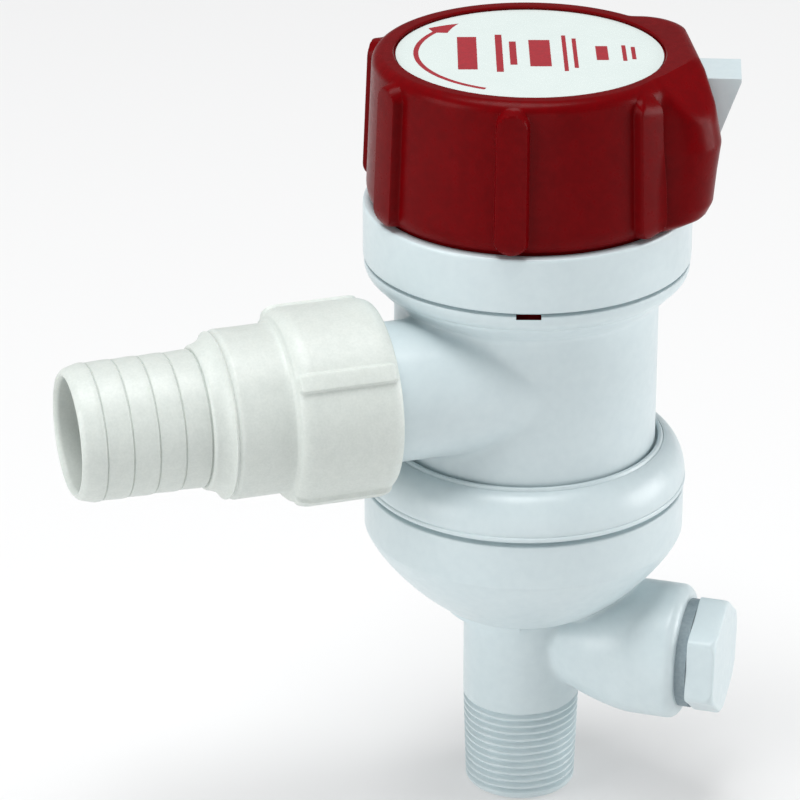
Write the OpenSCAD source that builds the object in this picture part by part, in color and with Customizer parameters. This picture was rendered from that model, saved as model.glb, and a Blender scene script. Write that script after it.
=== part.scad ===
// Cartridge livewell pump: a white housing with a threaded bottom inlet, a capped side inlet and a
// hose outlet, and a red bayonet cartridge that carries the motor and impeller.
// Origin: centre of the lower end of the inlet thread. +Z up the pump, -X along the outlet.

/* [Inlet neck] */
// Outer radius of the plain neck, a 3/4 in pipe
neck_r = 13.34; // [12.9:0.01:14]
// Height of the neck, from the thread's end to the bowl
neck_h = 46.9; // [44:0.1:56]
// Length of the tapered inlet thread
thread_len = 23.5; // [18:0.5:26]
// Pitch of the inlet and plug threads, 14 to the inch
thread_pitch = 1.814; // [1.6:0.001:2]
// Depth of the thread's grooves
thread_depth = 1.05; // [0.7:0.05:1.3]
// Radius of the inlet's water way
inlet_bore_r = 10.4; // [8.5:0.1:10.8]

/* [Bowl] */
// Radius where the bowl runs into the neck
bowl_foot_r = 17; // [15.5:0.5:20]
// Height of the rounded bowl
bowl_h = 19.6; // [17:0.1:26]
// Height of the upright band
band_h = 11; // [10.5:0.1:16]
// Wall of the bowl
bowl_wall = 2.9; // [2.2:0.1:3.4]

/* [Side inlet] */
// Height of the side inlet's axis
branch_z = 38; // [35:0.1:38.5]
// Turn of the side inlet about the pump axis, in degrees
branch_az = -35; // [-60:1:20]
// Distance from the pump axis to the side inlet's end face
branch_len = 38.9; // [36:0.1:44]
// Outer radius of the side inlet
branch_r = 15.4; // [15:0.1:17]
// Radius over the plug's thread
plug_thread_r = 10.6; // [10:0.05:10.8]
// Width of the plug's hexagon across its flats
plug_flats = 24.1; // [23:0.1:28]
// Height of the plug's head
plug_head_h = 6.5; // [5:0.1:10]
// Length of the plug's threaded shank
plug_shank_len = 13.5; // [11:0.5:15]

/* [Barrel] */
// Height of the rounded shoulder over the parting line
shoulder_h = 10.7; // [9.5:0.1:13]
// Outer radius of the barrel
barrel_r = 29.35; // [29:0.05:29.9]
// Height of the plain barrel
barrel_h = 33.3; // [33:0.1:42]
// Wall of the barrel
barrel_wall = 2.6; // [2.2:0.1:2.7]
// Height of the flared rim under the bayonet ring
rim_h = 10.2; // [10:0.1:14]

/* [Bayonet ring] */
// Outer radius of the ring
ring_r = 36.2; // [36:0.1:38]
// Height of the ring
ring_h = 12.8; // [11:0.1:16]
// Turn that frees the cartridge, in degrees
unlock_turn = 20; // [18:1:24]
// Width of each bayonet lug, in degrees
lug_width = 16; // [10:1:17]

/* [Outlet] */
// Height of the outlet's axis over the top of the shoulder
outlet_rise = 20.3; // [17.5:0.1:20.3]
// Outer radius of the outlet tube
tube_r = 15.4; // [14.6:0.1:15.8]
// Radius of the outlet's water way
outlet_bore_r = 12.2; // [10.5:0.1:12.3]
// Distance from the pump axis to the outlet tube's end face
tube_len = 54; // [51:0.5:62]
// Pitch of the outlet thread
outlet_pitch = 2.5; // [2:0.1:3]
// Turns of the nut to free the hose tail
outlet_turns = 4; // [3:1:4]

/* [Union nut] */
// Outer radius of the nut
nut_r = 21.4; // [20.9:0.1:24]
// Length of the nut's wide part
nut_len = 23.5; // [22:0.1:30]
// Outer radius of the nut's neck
nut_neck_r = 18.5; // [17:0.1:19.5]
// Length of the nut's neck
nut_neck_len = 12.3; // [9:0.1:18]
// Number of grip ribs on the nut
nut_ribs = 4; // [3:1:6]

/* [Hose tail] */
// Radius over the barbs, for hose of 28.6 mm bore
barb_r = 15; // [14:0.05:15.2]
// Spacing of the barbs along the tail
barb_pitch = 5.7; // [4.5:0.1:7]
// Number of barbs
barbs = 5; // [3:1:6]

/* [Cap] */
// Height of the cap
cap_h = 33.7; // [32.5:0.1:40]
// Depth of the label's face below the cap's rim
label_sink = 0.65; // [0.3:0.05:1.2]
// Turn of the cap's ear about the pump axis, in degrees
ear_az = -12.6; // [-40:0.1:10]
// Places for grip ribs round the cap, one of which is the ear
grips = 7; // [6:1:8]

/* [Cartridge] */
// Outer radius of the motor tube of the cartridge case
case_r = 20.6; // [20.4:0.1:21.4]
// Wall of the motor tube
case_wall = 2.4; // [2:0.1:2.8]
// Thickness of the case's floor
case_floor = 3; // [2.4:0.1:4]
// Length of the motor can
can_len = 62.8; // [58:0.1:63]
// Wall of the motor can
can_wall = 1.2; // [0.8:0.1:1.6]
// Radius of the armature
armature_r = 10.8; // [9:0.1:11.5]
// Length of the armature's core
armature_len = 34; // [28:0.5:36]
// Radius of the motor shaft
shaft_r = 2; // [1.5:0.1:2.4]
// Radius of the impeller
impeller_r = 24; // [20:0.1:24.5]
// Height of the impeller's vanes
vane_h = 8.4; // [6:0.1:9]
// Number of impeller vanes
vanes = 6; // [4:1:8]

/* [Clearances] */
// Radial gap between pieces that turn or slide past each other
run_gap = 0.35; // [0.3:0.01:0.4]
// Gap between faces that pass each other
face_gap = 0.3; // [0.25:0.01:0.4]
// Radial gap of a shaft in its bearing and of a seal on its bore
fit_gap = 0.04; // [0.02:0.01:0.08]
// Width of the shadow groove at a parting line
line_gap = 0.8; // [0.4:0.1:1]

/* [Hidden] */
$fn = 96;
eps = 0.01;

// Heights, stacked from the inlet up
band_z = neck_h + bowl_h;
split_z = band_z + band_h;
barrel_z = split_z + shoulder_h;
rim_z = barrel_z + barrel_h;
seat_z = rim_z + rim_h;
ring_top = seat_z + ring_h;
cap_z = ring_top + face_gap + 0.1;
cap_top = cap_z + cap_h;
outlet_z = barrel_z + outlet_rise;

// Outer radii that stand flush with the bayonet ring, or a step in from it
bowl_r = ring_r - 0.15;
shoulder_r = ring_r + 0.2;
rim_r = ring_r - 0.2;
cap_r = ring_r - 0.8;
cap_top_r = cap_r - 1.2;
label_r = cap_top_r - 5.2;
ear_reach = cap_r + 4.2;
ear_half = cap_r - 9.2;

// Neck and bowl details
neck_chamfer = 0.9;
neck_fillet = 2.4;
pad_out = 1.9;
pad_drop = 1.6;
pad_h = 3.6;
pad_az = 152;
pad_width = 98;

// Shoulder and rim details
line_step = 1.1;
shoulder_foot = 1.6;
shoulder_lip = 0.5;
flare_r = 4;
flare_h = 3.2;
rim_round = 2.1;
rim_low = 4.9;

// Barrel, bayonet and cartridge radii that mate
bore_r = barrel_r - barrel_wall;
outlet_y = -(barrel_r - tube_r - 0.55);
ring_wall = 2.6;
ring_in_r = ring_r - ring_wall;
lug_r = ring_in_r - run_gap;
ledge_r = ring_in_r - 3;
collar_r = ledge_r - run_gap;
ledge_h = 2.7;
lug_h = 2.2;
pocket_h = lug_h + 2 * face_gap;
lug_az = -109;
lugs = 3;
lug_room = 1.5;
lug_slot_w = 5.4;
lug_slot_h = 1.1;
head_r = bore_r - run_gap;
head_z = seat_z - pocket_h - 7.2;
seal_d = 2.4;

// Bowl joint: a spigot of the barrel stands in the bowl and clamps the eye plate
bowl_bore_r = bowl_r - bowl_wall;
spigot_h = 4;
spigot_r = bowl_bore_r - 0.2;
plate_h = 2.2;
ledge_w = 2;
eye_r = inlet_bore_r + 0.6;
eye_wall = 2;
eye_lip = 3;
plate_gap = 0.15;

// Motor stack, from the impeller up
plate_top = split_z - spigot_h;
vane_z = plate_top + 0.8;
disc_h = 2;
disc_top = vane_z + vane_h + disc_h;
seal_boss_h = 4;
seal_boss_r = 8;
seal_seat_r = 5.2;
seal_boss_z = disc_top + 1;
floor_z = seal_boss_z + seal_boss_h;
case_in_r = case_r - case_wall;
can_r = case_in_r - 0.1;
can_z = floor_z + case_floor + 0.1;
can_top = can_z + can_len;
can_in_r = can_r - can_wall;
bell_h = 3;
bell_plug_h = 3;
bell_boss_r = 6.6;
bearing_r = 4.5;
bearing_seat_r = bearing_r + 0.05;
bell_top = can_top + bell_h;
bearing_h = 5;
shaft_top = bell_top + bearing_h - 1.5;
shaft_bore = shaft_r + fit_gap;
magnet_h = armature_len + 4;
magnet_in_r = armature_r + 0.5;
core_z = can_z + can_wall + bearing_h + 4.5;
core_top = core_z + armature_len;
comm_r = 4.4;
comm_h = 8;
comm_z = can_top - comm_h - 0.6;
brush_z = can_top - 3.6;
brush_w = 4;
brush_h = 5;
brush_len = 5.6;
holder_len = 8;
holder_wall = 1;
brush_coil_r = 1.3;
brush_coil_h = 3.4;
terminal_x = 12;
terminal_w = 4;
terminal_t = 0.8;
terminal_out = 5;
rotor_slots = 5;
slot_in = 3.4;
slot_r = 2.2;
slot_mouth = 1.6;
end_turn_h = 2.6;
bar_gap = 0.4;
hub_r = 5;
vane_t = 1.8;
flat_depth = 0.5;
thrust_r = 4;
thrust_comm_r = 3.6;
thrust_t = 0.8;
thrust_gap = 0.1;

// Outlet run: distances from the pump axis, measured along the outlet
tail_flange_h = 3;
washer_h = 1.5;
tail_flange = tube_len + washer_h;
nut_seat = tail_flange + tail_flange_h;
outlet_thread_r = nut_r - 3.1;
outlet_root_r = outlet_thread_r - 1.2;
nut_bore_r = outlet_thread_r + run_gap;
nut_start = nut_seat + 4.2 - nut_len;
nut_neck = nut_start + nut_len;
nut_flare = nut_neck + nut_neck_len;
nut_end = nut_flare + 4.9;
nut_rib_w = 4.8;
barb_step = 0.6;
tail_r = barb_r - barb_step;
tail_tip = nut_end + barbs * barb_pitch - 0.3;
outlet_travel = outlet_turns * outlet_pitch;
outlet_land = 14.4;
nut_round = 1.4;
nut_round_len = 2.6;
nut_brow = 4;
nut_brow_len = 6.5;
nut_rib_h = 0.9;
nut_rib_inset = 2.3;
tip_round = 0.8;

// Side inlet run: distances from the pump axis, measured along the branch
plug_seal_h = 2.5;
branch_round = 2.6;
branch_bore_r = min(inlet_bore_r - 1.6, neck_h - branch_z - 0.4);
branch_swell = 28;
swell_rate = 0.0716;
swell_start = 11.5;
plug_turn_seat = -6.5;
plug_bore_r = plug_thread_r + run_gap;
plug_head = branch_len + plug_seal_h + fit_gap;
plug_tip = plug_head - plug_shank_len;
plug_wall = 3.8;
plug_chamfer = 1.1;

// Cap, ear and catch, in a frame whose X runs out through the ear
cup_wall = 2.2;
cup_top = cap_z + 3.4;
cap_in_r = collar_r + 0.95;
cap_roof = 3.4;
cap_foot = [2.4, 4];
cap_round = 2.6;
rib_r = 3.2;
rib_sunk = 1.7;
label_h = 0.5;
label_gap = 0.4;
ear_corner = 9.4;
ear_slices = [[0.5, 6.4, 1.2], [2.2, 3, 0.2], [5, 1.6, 0], [12, 0.9, 0.3], [18, 0, 1], [26, 1.4, 2.4],
              [cap_h - 2.6, 2.7, 3.6], [cap_h - 0.8, 3.6, 4.4], [cap_h - 0.01, 5.4, 6]];
catch_w = 13;
catch_in = ring_in_r + 0.4;
catch_t = 2;
catch_mid = catch_in + catch_t / 2;
catch_lift = 1.8;
catch_top = cap_top - 5.2;
catch_roof = catch_top + catch_lift + 0.5;
thumb_reach = ear_reach + 6.6;
thumb_h = 13;
thumb_slope = 4.4;
thumb_skew = -9;
shelf_z = cap_z + 4.7;
shelf_h = 2.4;
shelf_w = 23;
spring_h = 8;
spring_r = 0.95;
spring_wire = 0.5;
spring_top = shelf_z + shelf_h + spring_h;
foot_w = 8;
foot_drop = 3;
ramp_angle = atan(catch_lift / (catch_mid * unlock_turn * PI / 180));
ramp_z = ring_top - 1.2;
ramp_in = 3;
ramp_len = 30;
ramp_rise = 5;
wire_z = cap_z + 11;
wire_az = 360 / grips * 1.5;
wire_r = 1.3;
wire_apart = 3.8;
wire_hole_r = 4.5;
grommet_lip_r = 6;

function arc(cx, cy, rx, ry, a0, a1, n = 8) =
    [for (i = [0:n]) let (a = a0 + (a1 - a0) * i / n) [cx + rx * cos(a), cy + ry * sin(a)]];

// Points of the bowl's outside, from the band down to the foot; inset draws the inside
function bowl_curve(inset, n = 14) =
    [for (i = [0:n]) let (a = 90 * i / n)
        [bowl_foot_r + (bowl_r - bowl_foot_r) * pow(cos(a), 1.6) - inset,
         band_z - (bowl_h - inset * 0.55) * pow(sin(a), 1.6) + inset * 0.35]];

// Radius over a pipe thread that tapers 1 in 16 on the diameter
function taper(r, len, s) = r - (len - s) / 32;

// Outline of a run of V grooves, from the small end at s = 0 up to s = len
function groove_run(r, len, pitch, depth) =
    let (n = floor((len - pitch * 0.8) / pitch))
    [for (i = [0:n - 1], k = [-1:1])
        let (s = pitch * (i + 1) + k * pitch * 0.36)
        [taper(r, len, s) - (k == 0 ? depth : 0), s]];

module revolve(points) { rotate_extrude() polygon(points); }

module tube(r_out, r_in, h) {
    difference() {
        cylinder(r = r_out, h = h);
        translate([0, 0, -eps]) cylinder(r = r_in, h = h + 2 * eps);
    }
}

module sector(r_out, r_in, h, a0, width) {
    rotate([0, 0, a0]) rotate_extrude(angle = width) translate([r_in, 0]) square([r_out - r_in, h]);
}

module o_ring(r, d) { rotate_extrude() translate([r, 0]) circle(d = d, $fn = 32); }

module coil(r, d, h, turns) {
    for (i = [0:turns - 1]) translate([0, 0, d / 2 + (h - d) * i / (turns - 1)]) o_ring(r, d);
    for (a = [0, 180]) rotate([0, 0, a]) translate([r, 0, d / 2]) cylinder(d = d * 0.9, h = h - d, $fn = 24);
}

module along_outlet() { translate([0, outlet_y, outlet_z]) rotate([0, -90, 0]) children(); }

module along_branch() { translate([0, 0, branch_z]) rotate([0, 0, branch_az]) rotate([0, 90, 0]) children(); }

module in_ear() { rotate([0, 0, ear_az]) children(); }

// ---- Fixed housing ----

module lower_housing() {
    root = taper(neck_r, thread_len, 0);
    color("whitesmoke") difference() {
        union() {
            revolve(concat([[0, 0], [root - neck_chamfer, 0], [root, neck_chamfer]],
                           groove_run(neck_r, thread_len, thread_pitch, thread_depth),
                           [[neck_r, thread_len], [neck_r, neck_h - neck_fillet]],
                           arc(neck_r + neck_fillet, neck_h - neck_fillet, neck_fillet, neck_fillet,
                               180, 115, 4),
                           [for (i = [14:-1:0]) bowl_curve(0)[i]],
                           [[bowl_r, split_z - line_gap], [bowl_r - 0.8, split_z - line_gap],
                            [bowl_r - 0.8, split_z], [0, split_z]]));
            along_branch() revolve(concat([[0, 0]],
                [for (s = [swell_start:3:branch_swell])
                    [branch_r - swell_rate * pow(branch_swell - s, 1.5), s]],
                arc(branch_r - branch_round, branch_len - branch_round, branch_round, branch_round,
                    0, 90, 6),
                [[0, branch_len]]));
            translate([0, 0, neck_h - pad_drop])
                sector(neck_r + pad_out, neck_r - 1, pad_h, pad_az, pad_width);
        }
        revolve(concat([[0, -eps], [inlet_bore_r, -eps], [inlet_bore_r, neck_h]],
                       [for (i = [14:-1:0]) let (p = bowl_curve(bowl_wall)[i])
                           [min(max(p[0], inlet_bore_r), bowl_bore_r - ledge_w), max(p[1], neck_h)]],
                       [[bowl_bore_r - ledge_w, plate_top - plate_h], [bowl_bore_r, plate_top - plate_h],
                        [bowl_bore_r, split_z + eps], [0, split_z + eps]]));
        along_branch() {
            cylinder(r = branch_bore_r, h = branch_len);
            translate([0, 0, plug_tip - 1]) cylinder(r = plug_bore_r, h = branch_len);
        }
    }
}

module eye_plate() {
    color("white") difference() {
        union() {
            translate([0, 0, plate_top - plate_h]) cylinder(r = bowl_bore_r - plate_gap, h = plate_h);
            translate([0, 0, plate_top - plate_h - eye_lip])
                cylinder(r = eye_r + eye_wall, h = eye_lip + 0.5);
        }
        translate([0, 0, plate_top - plate_h - eye_lip - 1]) cylinder(r = eye_r, h = plate_h + eye_lip + 2);
    }
}

module bowl_seal() {
    color("dimgray") translate([0, 0, split_z - spigot_h / 2])
        o_ring(bowl_bore_r - seal_d / 2 - 0.05, seal_d - 0.1);
}

module pump_housing() {
    color("whitesmoke") difference() {
        union() {
            revolve(concat(
                [[0, plate_top], [spigot_r, plate_top], [spigot_r, split_z],
                 [shoulder_r - line_step, split_z], [shoulder_r - line_step, split_z + line_gap / 2],
                 [shoulder_r, split_z + line_gap / 2]],
                arc(barrel_r + shoulder_lip, split_z + shoulder_foot, shoulder_r - barrel_r - shoulder_lip,
                    shoulder_h - shoulder_foot, 0, 84, 10),
                [[barrel_r + 0.3, barrel_z - 0.5], [barrel_r, barrel_z - 0.2], [barrel_r, rim_z]],
                arc(barrel_r + flare_r, rim_z, flare_r, flare_h, 180, 130, 4),
                [[rim_r - rim_round, rim_z + rim_low]],
                arc(rim_r - rim_round, rim_z + rim_low + rim_round + 0.1, rim_round, rim_round, -80, 0, 5),
                [[rim_r, seat_z - line_gap / 2], [rim_r - 0.8, seat_z - line_gap / 2],
                 [rim_r - 0.8, seat_z], [0, seat_z]]));
            along_outlet() revolve(concat([[0, 0], [tube_r, 0], [tube_r, tube_len - outlet_land],
                [outlet_root_r, tube_len - outlet_land + 1.2]],
                [for (i = [0:outlet_turns - 1], k = [0:3])
                    [k % 3 == 0 ? outlet_root_r : outlet_thread_r,
                     tube_len - 1 - outlet_travel + (i + [0.1, 0.38, 0.62, 0.9][k]) * outlet_pitch]],
                [[outlet_root_r, tube_len - 0.6], [outlet_root_r - 0.6, tube_len], [0, tube_len]]));
        }
        translate([0, 0, plate_top - eps]) cylinder(r = bore_r, h = seat_z);
        translate([0, 0, seat_z - pocket_h]) {
            cylinder(r = ledge_r, h = pocket_h + 1);
            for (i = [0:lugs - 1])
                sector(ring_in_r, ledge_r - 1, pocket_h + 1,
                       lug_az + i * 360 / lugs - lug_width / 2 - lug_room,
                       unlock_turn + lug_width + 2 * lug_room);
        }
        along_outlet() cylinder(r = outlet_bore_r, h = tube_len + 1);
        rotate([0, 0, lug_az]) translate([ring_in_r - 1, -lug_slot_w / 2, seat_z - lug_slot_h])
            cube([8, lug_slot_w, lug_slot_h + eps]);
        translate([0, 0, split_z - spigot_h / 2 - seal_d / 2])
            tube(bowl_bore_r + 1, bowl_bore_r - seal_d - 0.05, seal_d);
    }
}

module bayonet_ring() {
    color("whitesmoke") difference() {
        revolve([[ledge_r, seat_z], [ring_r - 1, seat_z], [ring_r - 1, seat_z + line_gap / 2],
                 [ring_r, seat_z + line_gap / 2], [ring_r, ring_top - 0.7], [ring_r - 0.7, ring_top],
                 [ring_in_r, ring_top], [ring_in_r, seat_z + ledge_h], [ledge_r, seat_z + ledge_h]]);
        for (i = [0:lugs - 1])
            translate([0, 0, seat_z - 1])
                sector(ring_in_r, ledge_r - 1, ledge_h + 1.5,
                       lug_az + i * 360 / lugs + unlock_turn - lug_width / 2 - lug_room,
                       lug_width + 2 * lug_room);
        in_ear() translate([ring_in_r - ramp_in, 0, ramp_z]) rotate([ramp_angle, 0, 0])
            translate([0, -foot_w / 2 - 0.5, 0]) cube([ramp_in + ring_wall + 2.4, ramp_len, ramp_rise]);
    }
}

// ---- Outlet fittings ----

module hose_tail() {
    color("gainsboro") along_outlet()
        revolve(concat([[outlet_bore_r, tail_flange], [nut_bore_r - 0.3, tail_flange],
                        [nut_bore_r - 0.3, nut_seat], [tail_r, nut_seat], [tail_r, nut_end]],
                       [for (i = [0:barbs - 1], k = [0:2])
                           [barb_r - (k == 0 ? barb_step : 0),
                            nut_end + i * barb_pitch + [0.01, 0.25, 1.15][k]]],
                       [[barb_r - tip_round, tail_tip - tip_round], [barb_r - 2 * tip_round, tail_tip],
                        [outlet_bore_r + 0.5, tail_tip], [outlet_bore_r, tail_tip - 0.6]]));
}

module outlet_washer() {
    color("dimgray") along_outlet() translate([0, 0, tube_len])
        tube(outlet_root_r - 0.8, outlet_bore_r + 0.3, washer_h);
}

module union_nut() {
    color("gainsboro") along_outlet() difference() {
        union() {
            revolve(concat([[0, nut_start], [nut_r - nut_round, nut_start]],
                           arc(nut_r - nut_round, nut_start + nut_round_len, nut_round, nut_round_len,
                               -90, 0, 5),
                           arc(nut_r - nut_brow, nut_neck - 8, nut_brow, nut_brow_len, 0, 62, 6),
                           arc(nut_neck_r + 1.4, nut_neck - 0.6, 1.4, 1.9, 232, 180, 4),
                           arc(nut_neck_r - 1.2, nut_flare - 0.8, 1.2, 0.9, 0, 60, 4),
                           arc(nut_neck_r + 0.9, nut_end + 0.4, nut_neck_r - barb_r - 0.1, 4.9, 258, 190, 5),
                           [[0, nut_end]]));
            for (i = [0:nut_ribs - 1])
                rotate([0, 0, 36 + i * 360 / nut_ribs])
                    translate([nut_r - 2, -nut_rib_w / 2, nut_start + nut_rib_inset])
                        cube([2 + nut_rib_h, nut_rib_w, nut_len - 2 * nut_rib_inset]);
        }
        translate([0, 0, nut_start - eps]) cylinder(r = nut_bore_r, h = nut_seat + 0.1 - nut_start);
        translate([0, 0, nut_start]) cylinder(r = tail_r + run_gap, h = nut_end);
    }
}

// ---- Side inlet plug ----

module plug_seal() {
    color("dimgray") along_branch() translate([0, 0, branch_len])
        tube(plug_flats / 2 + 0.3, plug_bore_r + 0.2, plug_seal_h);
}

module port_plug() {
    color("whitesmoke") along_branch() difference() {
        union() {
            translate([0, 0, plug_tip]) revolve(concat([[0, 0], [plug_thread_r - 1.6, 0]],
                groove_run(plug_thread_r, plug_shank_len, thread_pitch, thread_depth),
                [[plug_thread_r, plug_shank_len], [0, plug_shank_len]]));
            translate([0, 0, plug_head]) rotate([0, 0, plug_turn_seat]) intersection() {
                cylinder(r = plug_flats / 2 / cos(30), h = plug_head_h, $fn = 6);
                cylinder(r1 = plug_flats / 2 / cos(30) + 2 * (plug_head_h - plug_chamfer),
                         r2 = plug_flats / 2 / cos(30) - plug_chamfer, h = plug_head_h);
            }
        }
        translate([0, 0, plug_tip - eps]) cylinder(r = plug_thread_r - plug_wall, h = plug_shank_len);
    }
}

// ---- Cartridge ----

module ear() {
    hull() for (slice = ear_slices) {
        reach = ear_reach - slice[1];
        half = ear_half - slice[2];
        translate([0, 0, cap_z + slice[0]]) linear_extrude(eps) {
            for (s = [-1, 1])
                translate([reach - ear_corner, s * (half - ear_corner)]) circle(ear_corner, $fn = 32);
            translate([0, 0.5 - half]) square([1, 2 * half - 1]);
        }
    }
}

module grip_rib() {
    lean = atan((cap_r - cap_top_r) / (cap_h - 8));
    translate([cap_r - rib_sunk, 0, cap_z + rib_r + 0.4]) rotate([0, -lean, 0])
        revolve(concat(arc(0, 0, rib_r, rib_r, -90, 0, 5),
                       arc(0, cap_h - 2.9 * rib_r, rib_r, rib_r, 0, 90, 5)));
}

module catch_slot(width, top) {
    translate([catch_in - face_gap, -width / 2 - face_gap, cap_z - 1])
        cube([catch_t + 2 * face_gap, width + 2 * face_gap, top - cap_z + 1]);
}

module cartridge_cap() {
    color("firebrick") in_ear() difference() {
        union() {
            revolve(concat([[0, cap_z]],
                           arc(cap_r - cap_foot[0], cap_z + cap_foot[1], cap_foot[0], cap_foot[1], -90, 0, 6),
                           arc(cap_top_r - cap_round, cap_top - cap_round, cap_round, cap_round, 4, 90, 6),
                           [[0, cap_top]]));
            ear();
            for (i = [1:grips - 1]) rotate([0, 0, i * 360 / grips]) grip_rib();
        }
        difference() {
            translate([0, 0, cap_z - 1]) cylinder(r = cap_in_r, h = cap_h + 1 - cap_roof);
            translate([0, 0, bell_top + 0.1]) tube(can_r - 1.3, can_r - 3.8, cap_h);
        }
        for (a = [60, 240]) rotate([0, 0, a]) translate([0, -2.5, bell_top]) cube([can_r, 5, 5]);
        translate([0, 0, cap_z - 1]) cylinder(r = lug_r + 0.1, h = cup_top + 0.2 - cap_z + 1);
        translate([0, 0, cap_top - label_sink - label_h]) cylinder(r = label_r + label_gap, h = 5);
        catch_slot(shelf_w, spring_top);
        catch_slot(catch_w, catch_roof);
        translate([catch_mid, 0, catch_top - thumb_h - face_gap]) rotate([0, 0, thumb_skew])
            translate([0, -catch_w / 2 - face_gap, 0])
                cube([20, catch_w + 2 * face_gap, thumb_h + catch_roof - catch_top + face_gap]);
        rotate([0, 0, wire_az]) translate([0, 0, wire_z]) rotate([0, 90, 0])
            cylinder(r = wire_hole_r, h = cap_r + 5);
    }
}

module label_disc() {
    color("white") translate([0, 0, cap_top - label_sink - label_h]) cylinder(r = label_r, h = label_h);
}

module cartridge_case() {
    color("firebrick") difference() {
        union() {
            revolve([[0, seal_boss_z], [seal_boss_r - 0.8, seal_boss_z], [seal_boss_r, seal_boss_z + 1],
                     [seal_boss_r, floor_z],
                     [case_r - 1.2, floor_z], [case_r, floor_z + 1.2], [case_r, head_z - 1.6],
                     [head_r, head_z + 0.4], [head_r, seat_z - pocket_h + face_gap],
                     [collar_r, seat_z - pocket_h + face_gap], [collar_r, seat_z + ledge_h + face_gap],
                     [lug_r, seat_z + ledge_h + face_gap], [lug_r, cup_top], [0, cup_top]]);
            for (i = [0:lugs - 1])
                translate([0, 0, seat_z - pocket_h + face_gap])
                    sector(lug_r, collar_r - 1, lug_h, lug_az + i * 360 / lugs - lug_width / 2, lug_width);
        }
        translate([0, 0, seal_boss_z - eps]) cylinder(r = seal_seat_r, h = seal_boss_h + 0.6);
        translate([0, 0, seal_boss_z]) cylinder(r = shaft_r + 0.6, h = 20);
        translate([0, 0, floor_z + case_floor]) cylinder(r = case_in_r, h = 100);
        translate([0, 0, seat_z + ledge_h + 2.6]) cylinder(r = lug_r - cup_wall, h = 100);
        translate([0, 0, head_z + 3.4]) tube(head_r - 3.6, case_r, 100);
        for (z = [head_z + 1.1, head_z + 4.3]) translate([0, 0, z]) tube(head_r + 5, head_r - 1.95, seal_d);
    }
}

module case_seal(z) {
    color("black") translate([0, 0, z + seal_d / 2])
        o_ring(bore_r - fit_gap - (seal_d - 0.3) / 2, seal_d - 0.3);
}

module upper_o_ring() { case_seal(head_z + 4.3); }

module lower_o_ring() { case_seal(head_z + 1.1); }

module shaft_seal() {
    color("black") translate([0, 0, seal_boss_z]) difference() {
        cylinder(r = seal_seat_r - 0.05, h = seal_boss_h);
        translate([0, 0, -eps]) cylinder(r = shaft_bore, h = 10);
        translate([0, 0, -eps]) cylinder(r1 = 4, r2 = shaft_r + 0.6, h = 1.6);
    }
}

module wire_grommet() {
    color("black") in_ear() rotate([0, 0, wire_az]) translate([0, 0, wire_z]) rotate([0, 90, 0])
        difference() {
            union() {
                translate([0, 0, cap_in_r - 2.2]) cylinder(r = grommet_lip_r, h = 1.2);
                translate([0, 0, cap_in_r - 1]) cylinder(r = wire_hole_r - 0.1, h = cap_r + 2.2 - cap_in_r);
                translate([0, 0, cap_r + 0.1]) cylinder(r1 = grommet_lip_r, r2 = wire_hole_r + 0.1, h = 1.6);
            }
            for (s = [-1, 1]) translate([0, s * wire_apart / 2, 0]) cylinder(r = wire_r, h = cap_r + 5);
        }
}

// ---- Release catch in the cap's ear ----

module lock_catch() {
    color("whitesmoke") in_ear() {
        translate([catch_in, -catch_w / 2, cap_z + 0.4]) cube([catch_t, catch_w, catch_top - cap_z - 0.4]);
        translate([catch_in, -shelf_w / 2, shelf_z]) cube([catch_t, shelf_w, shelf_h]);
        translate([catch_mid, 0, catch_top]) rotate([0, 0, thumb_skew]) translate([0, catch_w / 2, 0])
            rotate([90, 0, 0]) linear_extrude(catch_w)
                polygon([[0, 0], [thumb_reach - catch_mid, 0], [thumb_reach - catch_mid, -0.8],
                         [thumb_reach - catch_mid - thumb_slope, -thumb_h], [0, -thumb_h]]);
        difference() {
            translate([catch_in, -foot_w / 2, ring_top - foot_drop])
                cube([catch_t, foot_w, cap_z + 1 - ring_top + foot_drop]);
            translate([catch_in - 1, 0, ramp_z + 0.25]) rotate([ramp_angle, 0, 0])
                translate([0, -foot_w, -9]) cube([catch_t + 2, 2 * foot_w, 9]);
        }
    }
}

module catch_springs() {
    color("silver") in_ear() for (s = [-1, 1])
        translate([catch_mid, s * (shelf_w / 2 - 2), shelf_z + shelf_h])
            coil(spring_r, spring_wire, spring_h, 6);
}

// ---- Motor ----

module motor_can() {
    color("silver") translate([0, 0, can_z]) difference() {
        cylinder(r = can_r, h = can_len);
        translate([0, 0, can_wall]) difference() {
            cylinder(r = can_in_r, h = can_len);
            cylinder(r = bell_boss_r - 0.2, h = bearing_h - 0.5);
        }
        translate([0, 0, -eps]) cylinder(r = bearing_seat_r, h = 20);
    }
}

module magnets() {
    color("darkgray") for (a = [-60, 120])
        translate([0, 0, core_z - 2]) sector(can_in_r - 0.05, magnet_in_r, magnet_h, a, 120);
}

module end_bell() {
    color("dimgray") difference() {
        union() {
            translate([0, 0, can_top]) cylinder(r = can_r, h = bell_h);
            translate([0, 0, can_top - bell_plug_h]) cylinder(r = can_in_r - 0.1, h = bell_plug_h + eps);
            translate([0, 0, can_top]) cylinder(r = bell_boss_r, h = bell_h + bearing_h - 2);
        }
        translate([0, 0, can_top - bell_plug_h - eps]) cylinder(r = can_in_r - 1.8, h = bell_plug_h + eps);
        translate([0, 0, can_top - 1]) cylinder(r = bearing_seat_r, h = bell_h + bearing_h);
        for (s = [-1, 1]) translate([s * terminal_x, 0, can_top + 4])
            cube([terminal_t + 0.2, terminal_w + 0.2, 10], center = true);
    }
}

module bearing() { tube(bearing_r, shaft_bore, bearing_h); }

module lower_bearing() { color("peru") translate([0, 0, can_z + 0.2]) bearing(); }

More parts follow.
